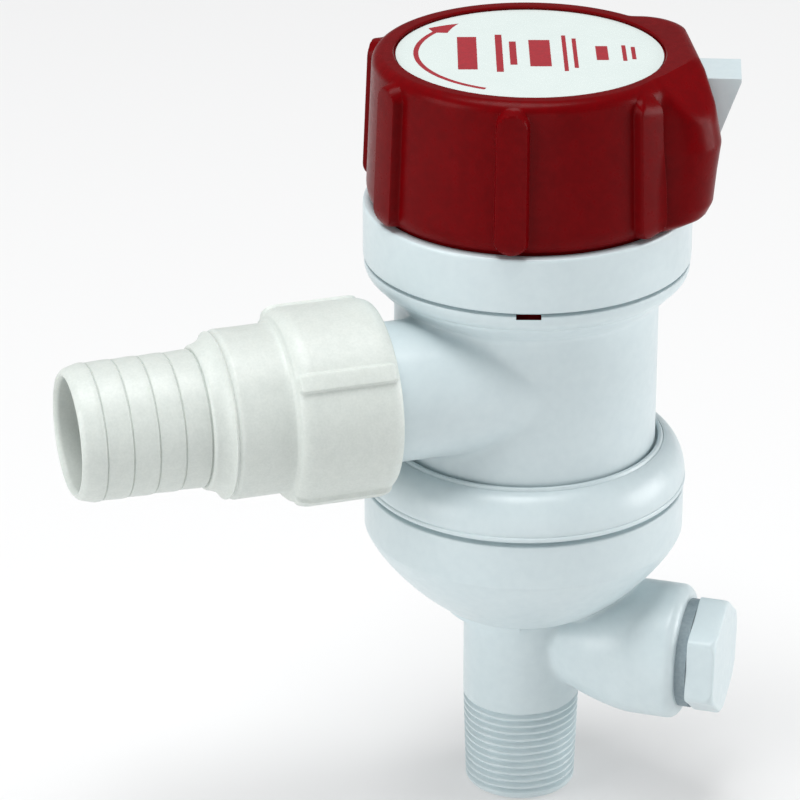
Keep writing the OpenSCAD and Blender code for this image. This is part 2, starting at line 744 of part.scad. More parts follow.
module upper_bearing() { color("peru") translate([0, 0, can_top + 0.6]) bearing(); }

module brush_holders() {
    color("goldenrod") for (a = [0, 180]) rotate([0, 0, a])
        translate([comm_r + 1.2 + holder_len / 2, 0, brush_z]) difference() {
            cube([holder_len, brush_w + 2 * holder_wall, brush_h + 2 * holder_wall], center = true);
            translate([-holder_wall, 0, 0]) cube([holder_len, brush_w + 0.2, brush_h + 0.2], center = true);
        }
}

module brushes() {
    color("black") for (a = [0, 180]) rotate([0, 0, a]) difference() {
        translate([comm_r - 1, -brush_w / 2, brush_z - brush_h / 2]) cube([brush_len, brush_w, brush_h]);
        translate([0, 0, brush_z - brush_h]) cylinder(r = comm_r + face_gap, h = 2 * brush_h);
    }
}

module brush_springs() {
    color("silver") for (a = [0, 180]) rotate([0, 0, a])
        translate([comm_r - 0.9 + brush_len, 0, brush_z]) rotate([0, 90, 0])
            coil(brush_coil_r, spring_wire, brush_coil_h, 4);
}

module terminals() {
    color("goldenrod") for (s = [-1, 1])
        translate([s * terminal_x - terminal_t / 2, -terminal_w / 2, can_top - 0.1])
            cube([terminal_t, terminal_w, bell_h + terminal_out]);
}

// ---- Rotor ----

module motor_shaft() {
    color("silver") translate([0, 0, vane_z + 0.6]) difference() {
        cylinder(r = shaft_r, h = shaft_top - vane_z - 0.6);
        translate([shaft_r - flat_depth, -2 * shaft_r, -eps]) cube([2 * shaft_r, 4 * shaft_r, vane_h]);
    }
}

module armature_core() {
    color("dimgray") translate([0, 0, core_z]) difference() {
        cylinder(r = armature_r, h = armature_len);
        translate([0, 0, -eps]) cylinder(r = shaft_bore, h = armature_len + 1);
        for (i = [0:rotor_slots - 1]) rotate([0, 0, i * 360 / rotor_slots]) translate([0, 0, -eps]) {
            translate([armature_r - slot_in, 0, 0]) cylinder(r = slot_r, h = armature_len + 1);
            translate([armature_r - slot_r, -slot_mouth / 2, 0])
                cube([slot_r + 1, slot_mouth, armature_len + 1]);
        }
    }
}

module windings() {
    color("sienna") {
        for (z = [core_z - end_turn_h, core_top])
            translate([0, 0, z]) tube(armature_r - 1, shaft_r + 1.2, end_turn_h);
        for (i = [0:rotor_slots - 1]) rotate([0, 0, i * 360 / rotor_slots])
            translate([armature_r - slot_in, 0, core_z]) cylinder(r = slot_r - 0.1, h = armature_len);
    }
}

module commutator() {
    color("goldenrod") translate([0, 0, comm_z]) difference() {
        cylinder(r = comm_r, h = comm_h);
        translate([0, 0, -eps]) cylinder(r = shaft_bore, h = comm_h + 1);
        for (i = [0:rotor_slots - 1]) rotate([0, 0, (i + 0.5) * 360 / rotor_slots])
            translate([comm_r - 0.7, -bar_gap / 2, 1]) cube([2, bar_gap, comm_h]);
    }
}

module thrust_washers() {
    color("ivory") {
        translate([0, 0, can_z + 0.2 + bearing_h + thrust_gap]) tube(thrust_r, shaft_bore, thrust_t);
        translate([0, 0, comm_z + comm_h + thrust_gap]) tube(thrust_comm_r, shaft_bore, thrust_t);
    }
}

module vane() {
    bend = impeller_r * 0.55;
    intersection() {
        translate([impeller_r * 0.5, 0]) sector(bend, bend - vane_t, vane_h + 0.5, 30, 142);
        cylinder(r = impeller_r - 0.4, h = vane_h + 1);
    }
}

module impeller() {
    color("black") difference() {
        union() {
            translate([0, 0, disc_top - disc_h]) cylinder(r = impeller_r, h = disc_h);
            translate([0, 0, vane_z]) cylinder(r = hub_r, h = vane_h + 0.5);
            for (i = [0:vanes - 1]) rotate([0, 0, i * 360 / vanes]) translate([0, 0, vane_z]) vane();
        }
        translate([0, 0, vane_z - eps]) cylinder(r = shaft_bore, h = vane_h + disc_h + 1);
    }
}

lower_housing();
eye_plate();
bowl_seal();
pump_housing();
bayonet_ring();
hose_tail();
outlet_washer();
union_nut();
plug_seal();
port_plug();
cartridge_cap();
label_disc();
cartridge_case();
upper_o_ring();
lower_o_ring();
motor_can();
magnets();
end_bell();
upper_bearing();
lower_bearing();
brush_holders();
brushes();
brush_springs();
terminals();
shaft_seal();
wire_grommet();
catch_springs();
lock_catch();
motor_shaft();
armature_core();
windings();
commutator();
thrust_washers();
impeller();
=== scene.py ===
import math

import bpy
import numpy as np
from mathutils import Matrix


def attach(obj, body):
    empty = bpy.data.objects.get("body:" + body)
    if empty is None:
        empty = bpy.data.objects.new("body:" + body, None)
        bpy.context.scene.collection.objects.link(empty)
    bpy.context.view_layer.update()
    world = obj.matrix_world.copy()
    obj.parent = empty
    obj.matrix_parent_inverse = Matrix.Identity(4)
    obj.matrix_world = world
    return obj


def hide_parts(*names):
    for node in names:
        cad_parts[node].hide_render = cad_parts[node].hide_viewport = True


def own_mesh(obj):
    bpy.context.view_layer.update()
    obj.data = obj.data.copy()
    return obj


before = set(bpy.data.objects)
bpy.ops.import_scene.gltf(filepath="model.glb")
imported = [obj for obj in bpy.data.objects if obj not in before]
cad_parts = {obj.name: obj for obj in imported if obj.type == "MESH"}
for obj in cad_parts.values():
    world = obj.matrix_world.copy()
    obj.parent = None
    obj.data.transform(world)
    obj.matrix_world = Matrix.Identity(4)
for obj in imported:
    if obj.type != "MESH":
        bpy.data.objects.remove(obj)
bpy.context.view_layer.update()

# ---- Lower housing ----
# The bowl that feeds the impeller, moulded in white ABS together with the threaded pipe neck under
# it and the stub of the side inlet. It is one injection moulding, glossy from a polished tool.

neck_r, neck_top, neck_bore = 13.34, 46.9, 10.4
thread_top, thread_pitch, thread_depth = 23.5, 1.814, 1.05
bowl_r, bowl_foot, bowl_h, bowl_wall = 36.05, 17.0, 19.6, 2.9
band_z, split_z, groove = 66.5, 77.5, 0.8
branch_z, branch_turn, branch_len = 38.0, math.radians(-35), 38.9
branch_r, branch_swell, branch_taper, branch_round = 15.4, 28.0, 0.0716, 2.6
plug_bore, side_bore, plug_tip = 10.95, 8.5, 27.9
pad_r, pad_low, pad_high, pad_turn, pad_half = 17.9, 45.8, 47.4, 201, 49
eye_ledge_r, eye_ledge_z, spigot_bore = 31.15, 71.3, 33.15


def linear(hex_colour):
    """sRGB hex text as a linear colour: c / 12.92 for a dark channel, ((c + 0.055) / 1.055) to the power
    2.4 for the rest."""
    c = np.array([int(hex_colour[i:i + 2], 16) for i in (1, 3, 5)]) / 255
    return (*np.where(c <= 0.04045, c / 12.92, ((c + 0.055) / 1.055) ** 2.4), 1.0)


def add_node(tree, kind, feeds=None, **settings):
    """Adds one shader node with its settings; a feed that is a socket is linked, any other is the input's
    value."""
    node = tree.nodes.new("ShaderNode" + kind)
    for name, value in settings.items():
        setattr(node, name, value)
    for name, value in (feeds or {}).items():
        if isinstance(value, bpy.types.NodeSocket):
            tree.links.new(value, node.inputs[name])
        else:
            node.inputs[name].default_value = value
    return node


def moulded_plastic(name, tone, shade, roughness, mottle_mm, grain_mm, grain_um, spread=0.5, depth=0.0,
                    shine=0.5):
    """Injection moulded plastic. Two noises, mottle_mm across and a quarter of that, mix the tone with its
    shade by spread; a finer noise varies the gloss; the tool's grain, grain_mm across and grain_um deep,
    is a bump; depth is the share of light that goes in and out again, and shine is the share of light that
    the skin throws back."""
    finish = bpy.data.materials.new(name)
    finish.use_nodes = True
    tree = finish.node_tree
    surface = tree.nodes["Principled BSDF"]
    place = add_node(tree, "TexCoord").outputs["Object"]
    broad = add_node(tree, "TexNoise", {"Vector": place, "Scale": 1000 / mottle_mm, "Detail": 3,
                                        "Roughness": 0.55})
    small = add_node(tree, "TexNoise", {"Vector": place, "Scale": 4000 / mottle_mm, "Detail": 2,
                                        "Roughness": 0.6})
    both = add_node(tree, "Math", {0: broad.outputs["Fac"], 1: small.outputs["Fac"]}, operation="ADD")
    amount = add_node(tree, "MapRange", {"Value": both.outputs[0], "From Min": 0.7, "From Max": 1.3,
                                         "To Max": spread})
    colour = add_node(tree, "Mix", {0: amount.outputs[0], 6: linear(tone), 7: linear(shade)},
                      data_type="RGBA")
    gloss = add_node(tree, "MapRange", {"Value": small.outputs["Fac"], "From Min": 0.3, "From Max": 0.7,
                                        "To Min": roughness * 0.88, "To Max": roughness * 1.12})
    grain = add_node(tree, "TexNoise", {"Vector": place, "Scale": 1000 / grain_mm, "Detail": 2,
                                        "Roughness": 0.5})
    bump = add_node(tree, "Bump", {"Height": grain.outputs["Fac"], "Distance": grain_um * 1e-6,
                                   "Strength": 1.0})
    tree.links.new(colour.outputs[2], surface.inputs["Base Color"])
    tree.links.new(gloss.outputs[0], surface.inputs["Roughness"])
    tree.links.new(bump.outputs[0], surface.inputs["Normal"])
    surface.inputs["IOR"].default_value = 1.53
    surface.inputs["Specular IOR Level"].default_value = shine
    surface.inputs["Subsurface Weight"].default_value = depth
    surface.inputs["Subsurface Radius"].default_value = (1.0, 0.9, 0.8)
    surface.inputs["Subsurface Scale"].default_value = 0.0015
    return finish


def softened(corners, bend=6):
    """Profile through corners (radius, height, ease). A corner c eased by e is the curve c + (1-t)^2 e a +
    t^2 e b for t from 0 to 1, where a and b point from c to its neighbours; a corner with no ease stays a
    point."""
    line = []
    for i, (r, h, ease) in enumerate(corners):
        here = np.array([r, h], float)
        if ease == 0 or i in (0, len(corners) - 1):
            line.append(here[None])
            continue
        sides = [np.array(corners[j][:2], float) - here for j in (i - 1, i + 1)]
        a, b = (s / np.hypot(*s) * min(ease, np.hypot(*s) * 0.49) for s in sides)
        t = np.linspace(0, 1, bend)[:, None]
        line.append(here + (1 - t) ** 2 * a + t ** 2 * b)
    return np.concatenate(line)


def spaced(line, step):
    """The same profile with every side longer than step cut in equal parts."""
    parts = [np.linspace(a, b, max(int(math.ceil(np.hypot(*(b - a)) / step)), 1), endpoint=False)
             for a, b in zip(line[:-1], line[1:])]
    return np.concatenate(parts + [line[-1:]])


def arc_of(cx, cy, rx, ry, start, end, n=12):
    """Points of an ellipse round (cx, cy): (cx + rx cos a, cy + ry sin a) for a from start to end in
    degrees."""
    a = np.radians(np.linspace(start, end, n))
    return np.stack([cx + rx * np.cos(a), cy + ry * np.sin(a)], -1)


def turned(profile, sides=288):
    """Grid of a profile (radius, height) carried round the Z axis: (r cos a, r sin a, h) for a full turn
    of a."""
    a = np.linspace(0, 2 * np.pi, sides, endpoint=False)[:, None]
    r, h = profile.T
    return np.stack([r * np.cos(a), r * np.sin(a), h + 0 * a], -1)


def skin(name, grid):
    """Mesh of a grid of points in mm, closed round its first parameter. Rows that fall on one point, such
    as a pole, and a last row that meets the first, are merged, so the skin is closed."""
    around, along = grid.shape[:2]
    i, j = np.meshgrid(np.arange(around), np.arange(along - 1), indexing="ij")
    k = (i + 1) % around
    faces = np.stack([i * along + j, k * along + j, k * along + j + 1, i * along + j + 1], -1)
    faces = faces.reshape(-1, 4)
    points = np.round(grid.reshape(-1, 3) * 1e-3, 8)
    points, place = np.unique(points, axis=0, return_inverse=True)
    faces = place.reshape(-1)[faces]
    met = faces == np.roll(faces, -1, 1)
    whole = faces[~met.any(1)].tolist()
    for side in range(4):
        whole += np.delete(faces[met[:, side] & (met.sum(1) == 1)], side, 1).tolist()
    mesh = bpy.data.meshes.new(name)
    mesh.from_pydata(points.tolist(), [], whole)
    return mesh


def gap_to_line(r, h, line):
    """Signed distance from points (r, h) to a closed line: the least distance to its sides, negative where
    a ray towards greater r crosses it an odd number of times."""
    p, a, side = np.stack([r, h], -1)[..., None, :], line[:-1], np.diff(line, axis=0)
    t = np.clip(((p - a) * side).sum(-1) / (side ** 2).sum(-1), 0, 1)
    near = np.sqrt((((p - a) - t[..., None] * side) ** 2).sum(-1).min(-1))
    up = (a[:, 1] > h[..., None]) != (line[1:, 1] > h[..., None])
    rise = np.where(side[:, 1] == 0, 1, side[:, 1])
    crossed = up & (r[..., None] < a[:, 0] + side[:, 0] * (h[..., None] - a[:, 1]) / rise)
    return np.where(crossed.sum(-1) % 2 == 1, -near, near)


def melted(grid, own, other, soft, most):
    """Moves a grid's points along its normals onto the smooth union of two shapes, whose field is min(a,
    b) - k h^2 / 4 with h = max(1 - |a - b| / k, 0) and k = soft. Past the line where the other shape is
    nearer the skin dips under it by 0.12 (a - b)^2, so that the two skins cross once. No point moves more
    than most."""
    du = np.roll(grid, -1, 0) - np.roll(grid, 1, 0)
    normal = np.cross(du, np.gradient(grid, axis=1))
    normal /= np.maximum(np.linalg.norm(normal, axis=-1, keepdims=True), 1e-9)
    close = (other(grid) < soft.max() if isinstance(soft, np.ndarray) else other(grid) < soft)
    p, n = grid[close], normal[close]
    k = np.maximum(soft[close] if isinstance(soft, np.ndarray) else np.full(len(p), soft), 1e-3)
    move = np.zeros(len(p))
    for _ in range(12):
        at = p + move[:, None] * n
        a, b = own(at), other(at)
        h = np.clip(1 - np.abs(a - b) / k, 0, 1)
        field = np.minimum(a, b) - k * h ** 2 / 4
        move = np.clip(move - 0.8 * (field + np.minimum(0.12 * np.maximum(a - b, 0) ** 2, 1.5)), 0, most)
    out = grid.copy()
    out[close] = p + move[:, None] * n
    return out


def fused(mesh, joined=(), cut=()):
    """The mesh with the joined meshes added to it and the cut meshes taken out of it."""
    collection = bpy.context.scene.collection
    whole = bpy.data.objects.new(mesh.name, mesh)
    collection.objects.link(whole)
    helpers = []
    for operation, meshes in (("UNION", joined), ("DIFFERENCE", cut)):
        for tool in meshes:
            helper = bpy.data.objects.new(tool.name, tool)
            collection.objects.link(helper)
            helpers.append(helper)
            step = whole.modifiers.new(operation, "BOOLEAN")
            step.operation, step.object, step.solver = operation, helper, "MANIFOLD"
    result = bpy.data.meshes.new_from_object(whole.evaluated_get(bpy.context.evaluated_depsgraph_get()))
    for helper in helpers + [whole]:
        bpy.data.objects.remove(helper)
    return result


def fitted(name, mesh, finish, body, stands_for=(), crisp=35):
    """Makes a mesh a piece of the pump: smooth faces with edges sharper than crisp degrees kept, its
    finish, the body that it rides on, and the solids that it stands for."""
    mesh.name = name
    mesh.materials.clear()
    mesh.materials.append(finish)
    mesh.polygons.foreach_set("use_smooth", np.ones(len(mesh.polygons), bool))
    mesh.set_sharp_from_angle(angle=math.radians(crisp))
    obj = bpy.data.objects.new(name, mesh)
    bpy.context.scene.collection.objects.link(obj)
    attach(obj, body)
    if stands_for:
        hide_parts(*stands_for)
    return obj


def on_branch(points):
    """Points drawn about the Z axis, laid along the side inlet: Z runs out along it and X runs down."""
    x, y, z = np.moveaxis(points, -1, 0)
    c, s = math.cos(branch_turn), math.sin(branch_turn)
    return np.stack([z * c - y * s, z * s + y * c, branch_z - x], -1)


def pipe_thread(angle, height, low, high):
    """Depth of a right-hand V thread: 0 on the crests and thread_depth at the roots, where the phase
    height / pitch - angle / turn is a whole number, easing out over a pitch at both ends."""
    phase = (height / thread_pitch - angle / (2 * np.pi)) % 1
    vee = np.clip(1 - np.abs(phase - 0.5) / 0.42, 0, 1)
    ends = np.clip((height - low) / 1.2, 0, 1) * np.clip((high - height) / 1.6, 0, 1)
    return thread_depth * (0.5 - 0.5 * np.cos(np.pi * vee)) * ends


# The side of the bowl is a quarter of a superellipse, cos^bowl_power out and sin^bowl_power down. The
# thread's radius shrinks by 1 in thread_taper, and a point further out than skin_from is on the outside.
bowl_power, thread_taper, thread_foot, skin_from = 1.6, 32, 0.9, 12
bowl_a = np.radians(np.linspace(90, 0, 26))
bowl_line = np.stack([bowl_foot + (bowl_r - bowl_foot) * np.cos(bowl_a) ** bowl_power,
                      band_z - bowl_h * np.sin(bowl_a) ** bowl_power], -1)
neck_line = np.concatenate([
    softened([(0, 0, 0), (neck_r - 1.2, 0, 0.5), (neck_r - 0.75, 0.9, 0.4), (neck_r, thread_top, 0),
              (neck_r, neck_top - 1.6, 0)]),
    arc_of(neck_r + 1.7, neck_top - 1.7, 1.7, 1.7, 180, 112, 6)])
body_line = np.concatenate([
    neck_line, bowl_line,
    softened([(bowl_r, band_z + 0.1, 0), (bowl_r, split_z - groove, 0.5),
              (bowl_r - 1.9, split_z - groove, 0), (bowl_r - 1.9, split_z, 0), (0, split_z, 0)])])
rows = spaced(body_line, 0.8)
fine = (rows[:, 1] > 0.5) & (rows[:, 1] < thread_top) & (rows[:, 0] > skin_from)
thread_h = np.arange(thread_foot, thread_top, 0.2)
thread_rows = np.stack([neck_r - (thread_top - thread_h) / thread_taper, thread_h], -1)
rows = np.concatenate([rows[:np.argmax(fine)], thread_rows, rows[len(rows) - np.argmax(fine[::-1]):]])
bowl_grid = turned(rows)
angle = np.arctan2(bowl_grid[..., 1], bowl_grid[..., 0])
height = bowl_grid[..., 2]
outside = np.hypot(bowl_grid[..., 0], bowl_grid[..., 1])
thinner = np.where(outside > skin_from, pipe_thread(angle, height, thread_foot, thread_top), 0)
# A low pad stands out of the neck on the side that faces pad_turn.
on_pad = (height > pad_low) & (height < pad_high) & (outside > skin_from) & (outside < pad_r)
pad_ends = np.clip((pad_half - np.abs(np.degrees(angle) % 360 - pad_turn)) / 1.2, 0, 1)
pad_out = pad_ends * on_pad * (pad_r - outside)
bowl_grid[..., :2] *= (1 + (pad_out - thinner) / np.maximum(outside, 1))[..., None]

body_closed = np.concatenate([body_line, body_line[:1]])
branch_s = np.linspace(6, branch_swell, 30)
branch_line = np.concatenate([
    [[0, 6.0]], np.stack([branch_r - branch_taper * (branch_swell - branch_s) ** 1.5, branch_s], -1),
    arc_of(branch_r - branch_round, branch_len - branch_round, branch_round, branch_round, 0, 90, 10),
    [[0, branch_len]]])
branch_closed = np.concatenate([branch_line, branch_line[:1]])


def bowl_gap(points):
    """Signed distance to the bowl and neck."""
    return gap_to_line(np.hypot(points[..., 0], points[..., 1]), points[..., 2], body_closed)


def branch_gap(points):
    """Signed distance to the side inlet's outside, about its own axis."""
    c, s = math.cos(branch_turn), math.sin(branch_turn)
    out = points[..., 0] * c + points[..., 1] * s
    aside = points[..., 1] * c - points[..., 0] * s
    return gap_to_line(np.hypot(aside, points[..., 2] - branch_z), out, branch_closed)


branch_grid = on_branch(turned(spaced(branch_line, 0.6), 220))
root_soft, root_most = 1.4, 0.9
bowl_skin = skin("bowl_skin", melted(bowl_grid, bowl_gap, branch_gap, root_soft, root_most))
branch_skin = skin("branch_skin", melted(branch_grid, branch_gap, bowl_gap, root_soft, root_most))
inner_a = np.radians(np.linspace(90, 0, 20))
inner_line = np.stack([bowl_foot + (bowl_r - bowl_foot) * np.cos(inner_a) ** bowl_power - bowl_wall,
                       band_z - (bowl_h - 0.55 * bowl_wall) * np.sin(inner_a) ** bowl_power
                       + 0.35 * bowl_wall], -1)
inner_line = np.stack([np.clip(inner_line[:, 0], neck_bore, eye_ledge_r),
                       np.maximum(inner_line[:, 1], neck_top)], -1)
water_way = skin("water_way", turned(np.concatenate([
    [[0, -1], [neck_bore + 0.5, -1], [neck_bore + 0.5, 0], [neck_bore, 0.5], [neck_bore, neck_top]],
    inner_line, [[eye_ledge_r, eye_ledge_z], [spigot_bore, eye_ledge_z], [spigot_bore, split_z + 1],
                 [0, split_z + 1]]]), 160))
side_way = skin("side_way", on_branch(turned(np.array(
    [[0, 0], [side_bore, 0], [side_bore, plug_tip - 1], [plug_bore, plug_tip - 1],
     [plug_bore, branch_len - 0.5], [plug_bore + 0.6, branch_len + 0.1], [plug_bore + 0.6, branch_len + 1],
     [0, branch_len + 1]], float), 120)))

# White ABS from a polished tool: clean and slightly blue, with soft sheen, faint cloudy mottling and a
# barely felt orange peel, which is drawn 0.9 mm across because the true grain is too fine to show.
white_abs = moulded_plastic("moulded_white_abs", "#cfdcdf", "#c6d4d8", 0.34, 9.0, 0.9, 6, depth=0.05)
fitted("lower_housing_moulding", fused(bowl_skin, [branch_skin], [water_way, side_way]), white_abs,
       "housing", ["lower_housing"])

# ---- Pump housing ----
# Shoulder, barrel, outlet tube and the flared rim for the bayonet ring, in the same white ABS. It
# clamps the eye plate in the bowl; a slot under the ring shows the red bayonet lug when locked.

barrel_r, barrel_bore = 29.35, 26.75
shoulder_r, rim_r, rim_z, seat_z = 36.4, 36.0, 121.5, 131.7
tube_r, tube_len, tube_bore, outlet_y, outlet_z = 15.4, 54.0, 12.2, -13.4, 108.5
outlet_crest, outlet_root, outlet_pitch = 18.3, 17.1, 2.5
plate_top, spigot_r, ledge_r, ring_in, pocket_z = 73.5, 32.95, 30.6, 33.6, 128.9
slot_turn, unlock, lug_side = math.radians(-109), 20, 9.5


def on_outlet(points):
    """Points drawn about the Z axis, laid along the outlet: Z runs out to -X and X runs up."""
    x, y, z = np.moveaxis(points, -1, 0)
    return np.stack([-z, y + outlet_y, x + outlet_z], -1)


barrel_line = np.concatenate([
    softened([(0, plate_top, 0), (spigot_r, plate_top, 0.4), (spigot_r, split_z, 0),
              (shoulder_r - 2.2, split_z, 0), (shoulder_r - 2.2, split_z + 0.4, 0),
              (shoulder_r, split_z + 0.4, 0.4), (shoulder_r, split_z + 1.3, 0.3),
              (shoulder_r - 0.3, split_z + 1.55, 0)]),
    arc_of(29.85, split_z + 1.6, shoulder_r - 30.0, 9.0, 2, 77, 22),
    softened([(31.25, 87.6, 0), (30.85, 88.5, 0.25), (30.2, 88.6, 0.3), (29.9, 88.0, 0.2),
              (29.75, 86.9, 0.2), (29.3, 86.7, 0.1), (barrel_r, 87.4, 0.1), (barrel_r, rim_z - 0.1, 0)]),
    arc_of(barrel_r + 4, rim_z, 4, 3.2, 180, 130, 10),
    softened([(31.1, 124.2, 0), (33.3, 126.2, 1.2), (33.9, 127.2, 0)]),
    arc_of(rim_r - 3.2, seat_z - 1.2, 3.2, 3.4, -70, 0, 12),
    softened([(rim_r, seat_z - 1.1, 0), (rim_r, seat_z - 0.4, 0.5), (rim_r - 1.6, seat_z - 0.4, 0),
              (rim_r - 1.6, seat_z, 0), (0, seat_z, 0)])])
barrel_closed = np.concatenate([barrel_line, barrel_line[:1]])
thread_at = tube_len - 11 + np.arange(0, 10, outlet_pitch)[:, None] + np.array([0.25, 0.95, 1.55, 2.25])
thread_high = np.tile([outlet_root, outlet_crest, outlet_crest, outlet_root], len(thread_at))
tube_line = np.concatenate([
    [[0, 2], [tube_r, 2], [tube_r, tube_len - 14.4], [outlet_root, tube_len - 13.2]],
    np.stack([thread_high, thread_at.reshape(-1)], -1),
    [[outlet_root, tube_len - 0.6], [outlet_root - 0.6, tube_len], [0, tube_len]]])


def barrel_gap(points):
    """Signed distance to the shoulder, barrel and rim."""
    return gap_to_line(np.hypot(points[..., 0], points[..., 1]), points[..., 2], barrel_closed)


def tube_gap(points):
    """Signed distance to the outlet tube on its own side of the pump, and to its end beyond that."""
    side = np.hypot(points[..., 1] - outlet_y, points[..., 2] - outlet_z) - tube_r
    return np.where(points[..., 0] < -2, side, np.hypot(np.maximum(side, 0), points[..., 0] + 2) + 1)


def tube_blend(grid, most):
    """Softness of the tube's root at each point: most where barrel and tube stand square to each other,
    down to nothing where they run into one another at the front, as 1 - n.m of their normals n and m."""
    n = grid[..., :2] / np.maximum(np.hypot(grid[..., 0], grid[..., 1]), 1)[..., None]
    m = np.stack([grid[..., 1] - outlet_y, grid[..., 2] - outlet_z], -1)
    m = m / np.maximum(np.linalg.norm(m, axis=-1), 1)[..., None]
    return most * np.clip(1.15 - n[..., 1] * m[..., 0], 0.05, 1)


barrel_grid = turned(spaced(barrel_line, 0.7), 330)
tube_grid = on_outlet(turned(spaced(tube_line, 0.6), 200))
tube_soft, tube_most = 2.2, 1.4
barrel_skin = skin("barrel_skin", melted(barrel_grid, barrel_gap, tube_gap,
                                         tube_blend(barrel_grid, tube_soft), tube_most))
tube_skin = skin("tube_skin", melted(tube_grid, tube_gap, barrel_gap,
                                     tube_blend(tube_grid, tube_soft), tube_most))
barrel_way = skin("barrel_way", turned(np.array(
    [[0, 70], [barrel_bore + 1, 70], [barrel_bore + 1, plate_top], [barrel_bore, plate_top + 1],
     [barrel_bore, pocket_z], [ledge_r, pocket_z], [ledge_r, 133], [0, 133]], float), 160))
outlet_way = skin("outlet_way", on_outlet(turned(np.array(
    [[0, 0], [tube_bore, 0], [tube_bore, tube_len - 0.5], [tube_bore + 0.6, tube_len + 0.1],
     [tube_bore + 0.6, tube_len + 1], [0, tube_len + 1]], float), 120)))


def block(name, low, high, turn=0.0, pivot=(0.0, 0.0), dip=0.0):
    """A box from low to high in mm, turned about the upright line through pivot; its inner end dips by
    dip."""
    x, y, z = (np.array([low[i], high[i]]) for i in range(3))
    px, py, pz = (v.reshape(-1) for v in np.meshgrid(x, y, z, indexing="ij"))
    pz = pz - dip * (px == low[0])
    c, s = math.cos(turn), math.sin(turn)
    qx, qy = px - pivot[0], py - pivot[1]
    points = np.stack([pivot[0] + qx * c - qy * s, pivot[1] + qx * s + qy * c, pz], -1) * 1e-3
    faces = [(0, 1, 3, 2), (4, 6, 7, 5), (0, 4, 5, 1), (2, 3, 7, 6), (0, 2, 6, 4), (1, 5, 7, 3)]
    mesh = bpy.data.meshes.new(name)
    mesh.from_pydata(points.tolist(), [], faces)
    return mesh


def ring_part(name, inner, outer, low, high, start, end):
    """A closed part of a ring: the rectangle from inner to outer and low to high, carried from start to
    end degrees round Z, with each end closed to its middle."""
    a = np.radians(np.linspace(start, end, 24))
    sides = [np.stack([r * np.cos(a), r * np.sin(a), 0 * a + h], -1)
             for r, h in ((inner, low), (inner, high), (outer, high), (outer, low))]
    middle = np.mean(sides, 0)
    return skin(name, np.stack([np.concatenate([middle[:1], side, middle[-1:]]) for side in sides]))


lug_slot = block("lug_slot", (33.0, -2.7, seat_z - 0.9), (36.2, 2.7, seat_z + 0.4), slot_turn, dip=1.4)
# Each lug has room for its own width and for the turn that frees it.
lug_room = [ring_part("lug_room", ledge_r - 1, ring_in, pocket_z, 132, turn - lug_side,
                      turn + unlock + lug_side)
            for turn in math.degrees(slot_turn) + np.array([0, 120, 240])]
fitted("pump_housing_moulding",
       fused(barrel_skin, [tube_skin], [barrel_way, outlet_way, lug_slot] + lug_room),
       white_abs, "housing", ["pump_housing"])

# ---- Bayonet ring ----
# A white ABS ring bonded on the rim, with the bayonet ledge inside and a ramped notch in its top for
# the catch. A hairline groove is left between it and the housing.

ring_r, ring_top, ring_ledge = 36.2, 144.5, 2.7
ramp_start, ramp_low, ramp_slope = -4.5, 143.3, 0.147
ear_turn = math.radians(-12.6)
ring_line = softened([
    (ledge_r, seat_z, 0), (ring_r - 1.8, seat_z, 0), (ring_r - 1.8, seat_z + 0.4, 0),
    (ring_r, seat_z + 0.4, 0.3), (ring_r, ring_top - 0.1, 0.9), (ring_r - 0.8, ring_top, 0.5),
    (ring_in, ring_top, 0.3), (ring_in, seat_z + ring_ledge, 0), (ledge_r, seat_z + ring_ledge, 0.3),
    (ledge_r, seat_z, 0)])
ring_grid = turned(spaced(ring_line, 1.5), 300)
gate = [block("gate", (29, -6.4, seat_z - 1), (ring_in, 6.4, seat_z + 3.2),
              slot_turn + math.radians(i * 120 + unlock)) for i in range(3)]
# The ramp under the catch's foot is a box whose lower face rises along Y by ramp_slope.
ramp = block("ramp", (30.6, ramp_start, ramp_low), (38.6, 25.5, 150))
sloped = np.array([v.co for v in ramp.vertices])
low_face = sloped[:, 2] < (ramp_low + 1) * 1e-3
sloped[low_face, 2] = ramp_low * 1e-3 + (sloped[low_face, 1] - ramp_start * 1e-3) * ramp_slope
ramp.vertices.foreach_set("co", sloped.reshape(-1))


def in_ear_frame(mesh):
    """Turns a mesh drawn with X out through the cap's ear to where the ear stands."""
    c, s = math.cos(ear_turn), math.sin(ear_turn)
    co = np.array([v.co for v in mesh.vertices])
    co = np.stack([co[:, 0] * c - co[:, 1] * s, co[:, 0] * s + co[:, 1] * c, co[:, 2]], -1)
    mesh.vertices.foreach_set("co", co.reshape(-1))
    return mesh


fitted("bayonet_ring_moulding", fused(skin("ring_skin", ring_grid), [], gate + [in_ear_frame(ramp)]),
       white_abs, "housing", ["bayonet_ring"])

# ---- Eye plate and bowl seal ----
# A thin white disc with the impeller's eye, clamped on the O-ring at the parting line. Both are
# hidden; the plate is moulded ABS, the ring is nitrile rubber.

plate_abs = moulded_plastic("moulded_abs_plate", "#ccd7d9", "#c2ced1", 0.45, 12.0, 0.8, 8)


def rubber(name, tone, shade):
    """Moulded nitrile or EPDM rubber: nearly black, dull, with a fine 0.5 mm bloom."""
    return moulded_plastic(name, tone, shade, 0.62, 3.0, 0.5, 10, spread=0.8)


def painted(finish, *names):
    """Gives a finish to solids that keep their own shape."""
    for name in names:
        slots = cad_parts[name].material_slots
        for s in slots:
            s.material = finish
        if not len(slots):
            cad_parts[name].data.materials.append(finish)


painted(plate_abs, "eye_plate")
seal_rubber = rubber("moulded_nitrile_rubber", "#26282a", "#33363a")
painted(seal_rubber, "bowl_seal")

